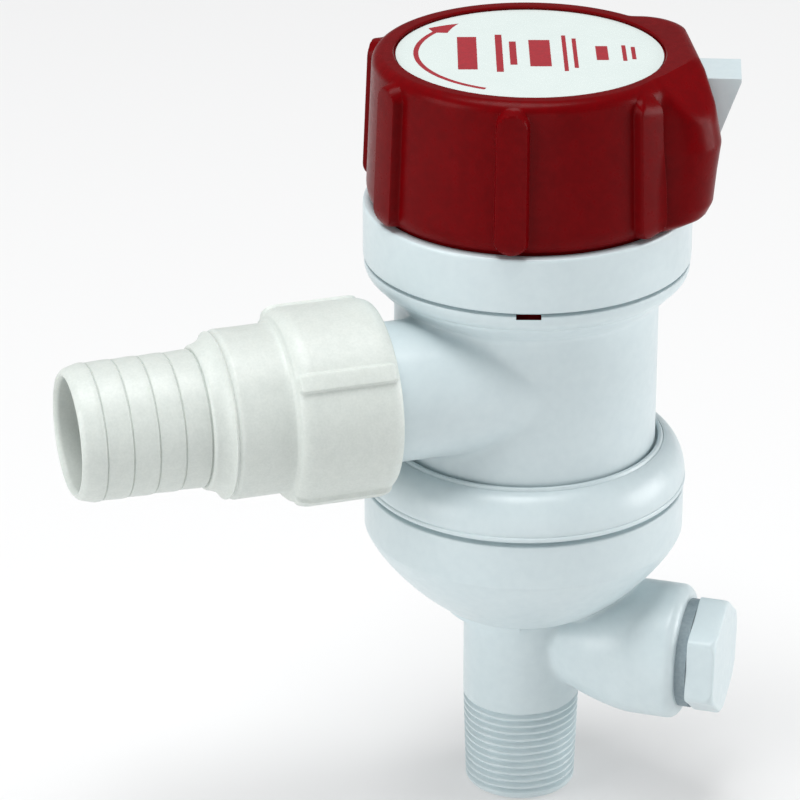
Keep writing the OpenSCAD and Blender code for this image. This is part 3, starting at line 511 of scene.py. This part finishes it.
# ---- Hose tail ----
# The barbed tail for the hose, moulded in natural nylon. Each barb is a low land with a soft edge;
# the flange inside the nut clamps it on the outlet tube with a flat washer.

tail_r, barb_r, barb_pitch, barb_count, nut_end, tail_tip = 14.4, 15.0, 5.7, 5, 79.9, 108.1
flange_r, flange_at, flange_end = 18.35, 55.5, 58.5
barbs = [(barb_r - 0.18, -0.2, 0.05), (barb_r - 0.5, 0.0, 0.05), (barb_r - 0.05, 0.3, 0.1),
         (barb_r, 1.4, 0.5)]
tail_line = softened(
    [(tube_bore, flange_at, 0), (flange_r, flange_at, 0.3), (flange_r, flange_end, 0.3),
     (tail_r, flange_end, 0)]
    + [(r, nut_end + 0.1 + i * barb_pitch + s, ease) for i in range(barb_count) for r, s, ease in barbs]
    + [(barb_r - 0.85, tail_tip - 0.9, 0.5), (barb_r - 1.7, tail_tip, 0.5),
       (tube_bore + 0.6, tail_tip, 0.5), (tube_bore, tail_tip - 0.9, 0.4), (tube_bore, flange_at, 0)], 7)
# Natural nylon (PA6) is milky and a little warm, lets some light in, and has a fine matt grain from
# the spark-eroded tool, drawn 0.7 mm across so that it shows.
nylon = moulded_plastic("moulded_nylon", "#d2d8d3", "#c4cbc6", 0.46, 2.2, 0.7, 16, spread=0.6, depth=0.15)
fitted("hose_tail_moulding", skin("tail", on_outlet(turned(spaced(tail_line, 2.0), 220))), nylon, "tail",
       ["hose_tail"], crisp=50)
painted(seal_rubber, "outlet_washer")

# ---- Union nut ----
# The nut that holds the tail on the tube, in the same natural nylon. Its wide part carries four soft
# grip ribs, and a short neck flares a little where it meets the hose.

nut_r, nut_start, nut_neck, nut_flare, nut_bore, nut_neck_r = 21.4, 39.2, 62.7, 75.0, 18.65, 18.5
nut_seat, wide_from = 58.6, 19.5
rib_turn, rib_count, rib_width, rib_high, rib_half_len = math.radians(36), 4, 4.0, 0.9, 9.9
nut_line = np.concatenate([
    [[nut_bore, nut_start + 0.5], [nut_bore + 0.5, nut_start]],
    softened([(nut_bore + 0.6, nut_start, 0), (nut_r - 1.0, nut_start, 0.8),
              (nut_r - 0.1, nut_start + 1.8, 1.2), (nut_r, nut_start + 4, 0)]),
    arc_of(nut_r - 2.6, nut_neck - 4.7, 2.6, 4.2, 0, 66, 16),
    softened([(19.4, 61.9, 0), (nut_neck_r + 0.1, nut_neck - 0.2, 0.25), (nut_neck_r, nut_neck + 0.6, 0.3),
              (nut_neck_r, nut_flare - 0.9, 0.4), (nut_neck_r - 0.6, nut_flare, 0.3),
              (18.0, nut_flare + 0.1, 0)]),
    arc_of(nut_neck_r + 0.9, nut_end + 0.4, 3.7, 4.9, 252, 192, 10),
    softened([(15.6, nut_end - 0.35, 0), (15.25, nut_end - 0.05, 0.2), (tail_r + 0.1, nut_end - 0.05, 0.05),
              (tail_r + 0.1, nut_end - 2, 0), (tail_r + 0.35, nut_end - 2, 0), (tail_r + 0.35, nut_seat, 0),
              (nut_bore, nut_seat, 0), (nut_bore, nut_start + 0.5, 0)])])
nut_grid = turned(spaced(nut_line, 0.6), 480)
around = np.arctan2(nut_grid[..., 1], nut_grid[..., 0])
out = np.hypot(nut_grid[..., 0], nut_grid[..., 1])
off_rib = (around - rib_turn + np.pi / rib_count) % (2 * np.pi / rib_count) - np.pi / rib_count
edge = np.hypot(np.maximum(np.abs(off_rib * nut_r) - rib_width / 2 + 0.9, 0),
                np.maximum(np.abs(nut_grid[..., 2] - (nut_start + nut_neck) / 2 + 0.2) - rib_half_len, 0))
lift = rib_high * (0.5 + 0.5 * np.cos(np.pi * np.clip((edge - 0.5) / 0.6, 0, 1))) * (out > wide_from)
nut_grid[..., :2] *= (1 + lift / out)[..., None]
# A short nick in the neck, left by the tool's insert, in line with a rib.
nick = block("nick", (nut_neck_r - 0.35, -0.25, 67.8), (nut_neck_r + 1, 0.25, 72.0), rib_turn - 0.02)
nick_at = np.array([v.co for v in nick.vertices]) * 1e3
nick.vertices.foreach_set("co", (on_outlet(nick_at) * 1e-3).reshape(-1))
fitted("union_nut_moulding", fused(skin("nut", on_outlet(nut_grid)), [], [nick]), nylon, "nut",
       ["union_nut"], crisp=50)

# ---- Side inlet plug ----
# A hexagon-headed plug moulded in white ABS, screwed into the side inlet on a flat rubber ring. The
# head has soft corners and a chamfered face.

head_at, head_high, flats, plug_thread = 41.44, 6.5, 24.1, 10.6
head_turn = math.radians(-6.5)
hollow_r, hollow_h, corner_cut, corner_soft, chamfer_h, chamfer_slope = 6.8, 11, 0.28, 0.22, 2.0, 0.62
plug_line = softened([
    (0, plug_tip + hollow_h, 0), (hollow_r, plug_tip + hollow_h, 0), (hollow_r, plug_tip, 0),
    (plug_thread - 1.4, plug_tip, 0.4), (plug_thread - 0.9, plug_tip + 0.8, 0.4), (plug_thread, head_at, 0),
    (flats / 2 + 2, head_at, 0.3), (flats / 2 + 2, head_at + head_high, 0.7),
    (flats / 2 - 1.5, head_at + head_high, 0), (0, head_at + head_high, 0)])
plug_rows = spaced(plug_line, 0.25)
plug_grid = turned(plug_rows, 240)
turn = np.arctan2(plug_grid[..., 1], plug_grid[..., 0])
out = np.hypot(plug_grid[..., 0], plug_grid[..., 1])
along = plug_grid[..., 2]
thread = np.where((out > 8.5) & (along < head_at - 0.01),
                  pipe_thread(turn, along, plug_tip + 0.8, head_at), 0)
from_flat = (turn - head_turn + np.pi / 6) % (np.pi / 3) - np.pi / 6
hexagon = flats / 2 / np.cos(np.pi / 6 - np.abs(from_flat))
corner = flats / 2 / math.cos(math.pi / 6)
hexagon = hexagon - corner_cut * np.exp(-((corner - hexagon) / corner_soft))
chamfer = corner + 0.15 - np.maximum(along - (head_at + head_high - chamfer_h), 0) * chamfer_slope
reach = np.minimum(hexagon, chamfer) * np.clip(out / (flats / 2 + 2), 0, 1)
in_head = (out > plug_thread + 0.02) | (along > head_at + 0.05)
out_to = np.where(in_head & (along >= head_at - 1e-6), reach, out - thread)
plug_grid[..., :2] *= (out_to / np.maximum(out, 1e-6))[..., None]
fitted("port_plug_moulding", skin("plug", on_branch(plug_grid)), white_abs, "plug",
       ["port_plug"], crisp=28)
# The ring under the head is grey EPDM, dull and slightly blue.
painted(rubber("moulded_grey_epdm", "#8d9ca2", "#7c8b92"), "plug_seal")

# ---- Cartridge cap ----
# The red cap of the cartridge, moulded in crimson ABS: a tapered cup with six upright grip ribs, an
# ear that hides the catch, and a sunk seat for the round label.

cap_z, cap_r, cap_top_r, cap_high = 144.9, 35.4, 34.2, 33.7
foot_round, foot_high, brow_round, brow_at = 2.4, 4, 2.6, 31.1
label_r, label_z, seat_floor = 29.0, 177.95, 32.55
places, grip_high, grip_half, grip_fall, grip_low, grip_top = 7, 2.2, 3.0, 0.8, 3.6, 28.8
ear_reach, ear_half, ear_corner = 39.6, 26.2, 9.4
# How far the ear's front and its sides draw back at a height over the cap's lower edge.
ear_drop = np.array([[0.0, 7.6, 2.0], [0.5, 6.2, 1.2], [2.2, 3, 0.2], [5, 1.6, 0], [12, 0.9, 0.3],
                     [18, 0, 1], [26, 1.4, 2.4], [brow_at, 2.7, 3.6], [32.9, 3.6, 4.4], [33.5, 4.6, 5.2],
                     [cap_high, 5.4, 6]])
facet_turn, facet_out = math.radians(-40.5), 32.0


def larger(a, b, soft):
    """Smooth maximum of two radii: the larger, plus soft h^2 / 4 where h = max(1 - |a - b| / soft, 0)."""
    return np.maximum(a, b) + soft * np.clip(1 - np.abs(a - b) / soft, 0, 1) ** 2 / 4


def ear_radius(a, reach, half):
    """Radius at angle a of the ear's outline: the front face, reach / cos a, then the round corner of
    centre c and radius q, c.u + sqrt(q^2 - |c|^2 + (c.u)^2), then the straight side, half / sin a."""
    cx, cy = reach - ear_corner, half - ear_corner
    ux, uy = np.cos(a), np.abs(np.sin(a))
    dot = cx * ux + cy * uy
    corner = dot + np.sqrt(np.maximum(ear_corner ** 2 - cx ** 2 - cy ** 2 + dot ** 2, 0))
    front = reach / np.maximum(ux, 1e-3)
    side = half / np.maximum(uy, 0.05)
    outline = np.where(side * ux < cx, side, np.where(front * uy <= cy, front, corner))
    return np.where(ux > 0, outline, 0)


def rib_lift(a, h, at, low, high):
    """Height of an upright grip rib: grip_high over a flat crest that is grip_half to each side, falling
    to 0 over grip_fall more. Its centre line runs from low to high, so both ends are round."""
    aside = cap_r * np.sin((a - at + np.pi) % (2 * np.pi) - np.pi)
    aside = np.where(np.cos(a - at) > 0, aside, 40)
    off = np.hypot(aside, np.maximum(low - h, 0) + np.maximum(h - high, 0))
    return grip_high * (0.5 + 0.5 * np.cos(np.pi * np.clip((off - grip_half) / grip_fall, 0, 1)))


def cap_radius(a, h):
    """Outside of the cap at angle a from the ear and height h over its lower edge: the cup's profile
    joined smoothly with the ear, plus the ribs, less what the slanted facet beside the label takes away."""
    foot_up = (foot_high - h) / (foot_high + 0.05)
    foot = cap_r - foot_round + foot_round * np.sqrt(np.clip(1 - foot_up ** 2, 0, 1))
    wall = cap_r - (cap_r - cap_top_r) * (h - foot_high) / (brow_at - foot_high)
    brow_up = (h - brow_at) / (brow_round + 0.02)
    brow = cap_top_r - brow_round + brow_round * np.sqrt(np.clip(1 - brow_up ** 2, 0, 1))
    cup = np.where(h < foot_high, foot, np.where(h < brow_at, wall, brow))
    reach = ear_reach - np.interp(h, ear_drop[:, 0], ear_drop[:, 1])
    half = ear_half - np.interp(h, ear_drop[:, 0], ear_drop[:, 2])
    full = larger(cup, ear_radius(a, reach, half), 1.2)
    for i in range(1, places):
        full = full + rib_lift(a, h, i * 2 * np.pi / places, grip_low, grip_top)
    facet = (facet_out + (cap_high - h)) / np.maximum(np.cos(a - facet_turn), 1e-3)
    return np.where(np.cos(a - facet_turn) > 0.2, -larger(-full, -facet, 1.6), full)


# The columns stand closer on the flanks of the ribs, and the rows on the rounds at the foot and the top.
cap_a = np.unique(np.concatenate([np.linspace(0, 2 * np.pi, 420, endpoint=False)] + [
    i * 2 * np.pi / places + side * np.linspace(0.078, 0.112, 24)
    for i in range(1, places) for side in (-1, 1)]))[:, None]
wall_h = np.concatenate([foot_high - foot_high * np.cos(np.radians(np.linspace(0, 90, 10))),
                         np.arange(4.6, 31, 0.6),
                         brow_at + brow_round * np.sin(np.radians(np.linspace(0, 90, 12)))])[None]
wall_out = cap_radius(cap_a, wall_h)
edge_out = wall_out[:, -1:]
inward = np.array([0.12, 0.3, 0.5, 0.7, 0.85, 1.0])[None]
top_out = edge_out + (label_r + 1.0 - edge_out) * inward
seat_out = np.array([label_r + 0.62, label_r + 0.42, label_r + 0.4, label_r - 2.0, 15.0, 0.0])[None]
seat_h = np.array([cap_high - 0.04, 33.4] + [seat_floor] * 4)[None]
under = np.array([0.0, 20.0, 28.0])[None]
one = np.ones_like(cap_a)
cap_out = np.concatenate([under * one, wall_out, top_out, seat_out * one], 1)
cap_h = np.concatenate([0 * under * one, wall_h * one, cap_high * one * np.ones_like(inward),
                        seat_h * one], 1)
cap_grid = np.stack([cap_out * np.cos(cap_a + ear_turn), cap_out * np.sin(cap_a + ear_turn),
                     cap_z + cap_h], -1)
# The room for the cartridge and the catch: the cup's hollow, then the catch's bar, its spring shelf and
# the window for the thumb plate, each slot_gap wider than what moves in it.
room_foot_r, room_r, room_under, room_step, room_roof = 33.35, 31.2, 144, 148.5, 175.2
cap_room = skin("cap_room", turned(np.array(
    [[0, room_under], [room_foot_r, room_under], [room_foot_r, room_step], [room_r, room_step],
     [room_r, room_roof - 1.6], [29.6, room_roof], [0, room_roof]], float), 160))
catch_in, catch_mid, catch_top, catch_w = 34.0, 35.0, 173.4, 13.0
slot_gap, slot_roof, slot_back, shelf_half, shelf_top = 0.3, 175.7, 2.3, 11.8, 160.0
slot_half = catch_w / 2 + slot_gap
slots = [in_ear_frame(block("bar_slot", (catch_in - slot_gap, -slot_half, room_under),
                            (catch_in + slot_back, slot_half, slot_roof))),
         in_ear_frame(block("shelf_slot", (catch_in - slot_gap, -shelf_half, room_under),
                            (catch_in + slot_back, shelf_half, shelf_top))),
         in_ear_frame(block("thumb_window", (catch_mid, -slot_half, catch_top - 13.3),
                            (55, slot_half, slot_roof), math.radians(-9), (catch_mid, 0.0)))]
# The leads leave between two ribs at the back.
lead_turn = ear_turn + math.radians(360 / places * 1.5)
lead_r, lead_z = 4.5, 155.9
lead_hole = turned(np.array([[0, 20], [lead_r, 20], [lead_r, 45], [0, 45]], float), 48)
lead_hole = np.stack([lead_hole[..., 2] * math.cos(lead_turn) - lead_hole[..., 1] * math.sin(lead_turn),
                      lead_hole[..., 2] * math.sin(lead_turn) + lead_hole[..., 1] * math.cos(lead_turn),
                      lead_z - lead_hole[..., 0]], -1)
# Crimson ABS with the depth of a glossy moulding: mottled a little darker, softly reflecting, with a
# light orange peel 1.2 mm across.
crimson_abs = moulded_plastic("moulded_crimson_abs", "#6c0307", "#560205", 0.3, 7.0, 1.2, 8, depth=0.02,
                              shine=0.05)
fitted("cartridge_cap_moulding",
       fused(skin("cap", cap_grid), [], [cap_room] + slots + [skin("lead_hole", lead_hole)]),
       crimson_abs, "cartridge", ["cartridge_cap"])
painted(crimson_abs, "cartridge_case")
painted(seal_rubber, "upper_o_ring", "lower_o_ring", "shaft_seal", "wire_grommet")

# ---- Label ----
# A round of glossy white polyester film in the cap's seat, printed in red with a plain arrow that
# shows which way the cartridge locks, and plain marks.

label_line = softened([(0, label_z - 0.5, 0), (label_r - 0.2, label_z - 0.5, 0),
                       (label_r, label_z - 0.3, 0.1), (label_r, label_z, 0.14),
                       (label_r - 1.5, label_z, 0), (0, label_z, 0)], 4)
white_film = moulded_plastic("printed_polyester_film", "#dbe5e2", "#d3dedb", 0.28, 6.0, 0.6, 3)
fitted("label_film", skin("label", turned(label_line, 192)), white_film, "cartridge",
       ["label_disc"])

ink_h, label_turn = 0.03, math.radians(-18)
arrow_r, arrow_half, head_half, arrow_steps, head_steps = 24.6, 0.55, 2.6, 40, 5


def printed(name, outline):
    """A flat patch of ink ink_h thick on the label, from the two edges of its outline, each a row of
    points in mm that is turned to face the same way as the outlet."""
    left, right = (np.array(side, float) for side in outline)
    c, s = math.cos(label_turn), math.sin(label_turn)
    ring = [np.stack([side[:, 0] * c - side[:, 1] * s, side[:, 0] * s + side[:, 1] * c,
                      side[:, 0] * 0 + label_z + h], -1)
            for side, h in ((left, 0), (right, 0), (right, ink_h), (left, ink_h))]
    core = [np.mean(ring, 0)[end][None] for end in (0, -1)]
    grid = np.stack([np.concatenate([core[0], side, core[1]]) for side in ring])
    return skin(name, grid)


def bar(x, y, long, wide):
    """The two edges of a plain bar centred on (x, y), long along Y and wide along X."""
    return [[(edge, y - long / 2), (edge, y + long / 2)] for edge in (x - wide / 2, x + wide / 2)]


# The arrow is a thin line along a circle, which widens into its head and runs out to a point.
sweep = np.radians(np.linspace(246, 128, arrow_steps))
to_tip = arrow_steps - 1 - np.arange(arrow_steps)
arrow_wide = np.where(to_tip > head_steps, arrow_half, head_half * to_tip / head_steps)
arrow = [np.stack([(arrow_r + side * arrow_wide) * np.cos(sweep),
                   (arrow_r + side * arrow_wide) * np.sin(sweep)], -1) for side in (1, -1)]
marks = [bar(-13.5, 0, 21, 4.2), bar(-6.6, 0, 24, 1.5), bar(-3.6, 0, 15, 1.5), bar(2.2, 0, 17, 4.6),
         bar(7.6, 0, 23, 0.9), bar(9.8, 0, 19, 0.9), bar(15.6, 0, 9, 2.6), bar(20.4, 0, 10, 0.9),
         bar(22.4, 0, 8, 0.9)]
ink = moulded_plastic("screen_printed_red_ink", "#a8202c", "#93202a", 0.4, 2.0, 0.5, 2, spread=1.0)
patches = [printed("patch", outline) for outline in [arrow] + marks]
joined = bpy.data.meshes.new("label_print")
corners = np.concatenate([np.array([v.co for v in m.vertices]) for m in patches])
starts = np.cumsum([0] + [len(m.vertices) for m in patches])
faces = [[v + start for v in f.vertices] for m, start in zip(patches, starts) for f in m.polygons]
joined.from_pydata(corners.tolist(), [], faces)
fitted("label_print", joined, ink, "cartridge")

# ---- Catch ----
# The white thumb piece that locks the bayonet: a bar with a foot for the ring's notch and a sloping
# thumb plate that stands out of the ear. Moulded in the same white ABS, its edges are just broken.


def merged_copy(node):
    """A copy of a solid's mesh with its corners merged."""
    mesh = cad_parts[node].data.copy()
    co = np.round(np.array([v.co for v in mesh.vertices]), 7)
    loops = np.array([l.vertex_index for l in mesh.loops])
    points, place = np.unique(co, axis=0, return_inverse=True)
    faces = place.reshape(-1)[loops].reshape(-1, 3)
    clean = bpy.data.meshes.new(node + "_copy")
    clean.from_pydata(points.tolist(), [], faces.tolist())
    return clean


catch = fitted("lock_catch_moulding", merged_copy("lock_catch"), white_abs, "catch",
               ["lock_catch"])
rounding = catch.modifiers.new("rounding", "BEVEL")
rounding.width, rounding.segments = 0.00035, 3
rounding.limit_method, rounding.angle_limit = "ANGLE", math.radians(30)

# ---- Motor ----
# The motor sealed in the cartridge: a drawn steel can with two ferrite magnets, a moulded end bell
# that holds the brush gear, sintered bushes, and the coil springs over the catch.


def worked_metal(name, tone, shade, roughness, marks_mm, bump_um):
    """Bare metal whose marks are stretched by how it was worked: a noise on the coordinates divided by
    marks_mm mixes the tone with its shade, varies the gloss and lifts the surface by bump_um."""
    finish = bpy.data.materials.new(name)
    finish.use_nodes = True
    tree = finish.node_tree
    surface = tree.nodes["Principled BSDF"]
    place = add_node(tree, "TexCoord").outputs["Object"]
    drawn = add_node(tree, "Mapping", {"Vector": place, "Scale": [1000 / mm for mm in marks_mm]}).outputs[0]
    marks = add_node(tree, "TexNoise", {"Vector": drawn, "Scale": 1.0, "Detail": 4,
                                        "Roughness": 0.6}).outputs["Fac"]
    colour = add_node(tree, "Mix", {0: marks, 6: linear(tone), 7: linear(shade)}, data_type="RGBA")
    gloss = add_node(tree, "MapRange", {"Value": marks, "From Min": 0.3, "From Max": 0.7,
                                        "To Min": roughness * 0.8, "To Max": roughness * 1.2})
    bump = add_node(tree, "Bump", {"Height": marks, "Distance": bump_um * 1e-6, "Strength": 1.0})
    tree.links.new(colour.outputs[2], surface.inputs["Base Color"])
    tree.links.new(gloss.outputs[0], surface.inputs["Roughness"])
    tree.links.new(bump.outputs[0], surface.inputs["Normal"])
    surface.inputs["Metallic"].default_value = 1.0
    return finish


# Zinc-plated steel, drawn upwards, keeps long upright marks under a soft bluish shine.
painted(worked_metal("drawn_zinc_plated_steel", "#b9c0c6", "#9aa2a9", 0.32, (1.2, 1.2, 25), 4),
        "motor_can")
# Ferrite is a dull charcoal ceramic with a gritty pressed face.
painted(moulded_plastic("pressed_ferrite", "#34363a", "#26282b", 0.7, 2.5, 0.4, 20, spread=1.0), "magnets")
# Glass-filled nylon is black and matt, with pale fibres that cloud its skin.
painted(moulded_plastic("glass_filled_nylon", "#222426", "#303336", 0.55, 4.0, 0.4, 12, spread=0.9),
        "end_bell")
# Sintered bronze is oily brown and finely pitted.
painted(worked_metal("sintered_bronze", "#a8763e", "#7d5428", 0.45, (0.5, 0.5, 0.5), 15),
        "upper_bearing", "lower_bearing")
# Stamped brass is bright, with rolling marks along its length.
painted(worked_metal("stamped_brass", "#d8b25c", "#bd9544", 0.28, (8, 8, 0.8), 3), "brush_holders",
        "terminals")
# Carbon brushes are pressed from graphite: near black with a faint grey sheen.
painted(moulded_plastic("pressed_graphite", "#2b2c2e", "#1d1e20", 0.5, 1.5, 0.3, 10, spread=1.0), "brushes")
# Stainless spring wire is smooth, with fine drawing marks. The coils over the catch get a mesh of their
# own.
stainless = worked_metal("drawn_stainless_wire", "#c9ccce", "#a9adb1", 0.22, (0.4, 0.4, 0.4), 2)
painted(stainless, "brush_springs")
coils = fitted("catch_springs_coils", merged_copy("catch_springs"), stainless, "cartridge",
               ["catch_springs"])
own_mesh(coils)

# ---- Rotor ----
# The ground shaft with its laminated core, windings and commutator, and the black impeller pressed
# on its flat under the case. Two washers take its thrust between the bushes.

# Ground steel shows fine rings round the shaft.
painted(worked_metal("ground_steel", "#c4c8cc", "#a4a9ae", 0.2, (6, 6, 0.35), 2), "motor_shaft")
# Silicon steel sheets 0.5 mm thick are stacked, so their cut edges show as rings.
painted(worked_metal("stacked_silicon_steel", "#7d8286", "#4f5458", 0.42, (30, 30, 0.5), 25),
        "armature_core")
# Enamelled copper wire about 0.6 mm thick runs up the slots in strands of reddish brown.
painted(worked_metal("enamelled_copper_wire", "#b5622e", "#7c3a17", 0.3, (0.6, 0.6, 9), 60), "windings")
# Turned copper is bright pink-brown, with rings from the tool and from the brushes.
painted(worked_metal("turned_copper", "#c98455", "#a9653a", 0.27, (9, 9, 0.4), 4), "commutator")
# PTFE is a waxy ivory white that lets some light in.
painted(moulded_plastic("sliced_ptfe", "#e6e2d6", "#dad5c6", 0.5, 3.0, 0.5, 5, depth=0.2), "thrust_washers")
# Black acetal is smooth and slightly waxy.
painted(moulded_plastic("moulded_black_acetal", "#1c1d1f", "#26282a", 0.36, 6.0, 0.6, 5), "impeller")

# ---- Studio ----
# A pale floor that runs out of sight, a soft white room, a large lamp overhead and one at each side.

floor_half, floor_z = 6, -0.0005
floor_mesh = bpy.data.meshes.new("floor")
floor_mesh.from_pydata([(x * floor_half, y * floor_half, floor_z)
                        for x, y in ((-1, -1), (1, -1), (1, 1), (-1, 1))], [], [(0, 1, 2, 3)])
floor = bpy.data.objects.new("floor", floor_mesh)
bpy.context.scene.collection.objects.link(floor)
floor_paint = bpy.data.materials.new("painted_white_floor")
floor_paint.use_nodes = True
paint = floor_paint.node_tree.nodes["Principled BSDF"]
paint.inputs["Base Color"].default_value = linear("#bcbcbc")
paint.inputs["Roughness"].default_value = 0.9
paint.inputs["Emission Color"].default_value = (1, 1, 1, 1)
paint.inputs["Emission Strength"].default_value = 0.35
floor_mesh.materials.append(floor_paint)

world = bpy.data.worlds.new("soft_room")
world.use_nodes = True
world.node_tree.nodes["Background"].inputs["Color"].default_value = (0.96, 0.98, 1.0, 1)
world.node_tree.nodes["Background"].inputs["Strength"].default_value = 0.25
bpy.context.scene.world = world


def facing(place, target):
    """The angles that turn a lamp or a camera at place to look at target, kept upright."""
    aim = np.array(target) - np.array(place)
    return math.atan2(math.hypot(aim[0], aim[1]), -aim[2]), 0, math.atan2(-aim[0], aim[1])


def softbox(name, place, size, power):
    """A square lamp that faces the middle of the pump."""
    data = bpy.data.lights.new(name, "AREA")
    data.energy, data.size = power, size
    lamp = bpy.data.objects.new(name, data)
    lamp.location = place
    lamp.rotation_euler = facing(place, (0.0, 0.0, 0.11))
    bpy.context.scene.collection.objects.link(lamp)


softbox("top_box", (-0.2, -0.1, 2.0), 1.2, 37)
softbox("left_box", (-1.22, -0.2, 0.42), 0.7, 6.7)
softbox("right_box", (1.15, -0.3, 0.2), 0.7, 9.5)
softbox("fill_box", (-0.15, -0.65, 0.12), 0.3, 0.3)

camera_data = bpy.data.cameras.new("camera")
camera_data.lens, camera_data.sensor_width = 179.33, 36.0
camera = bpy.data.objects.new("camera", camera_data)
camera.location = (-0.2782, -0.7657, 0.4646)
camera.rotation_euler = facing(camera.location, (-0.02663, 0.00865, 0.09577))
camera_data.clip_end = 50
bpy.context.scene.collection.objects.link(camera)
bpy.context.scene.camera = camera
bpy.context.scene.view_settings.view_transform = "Standard"
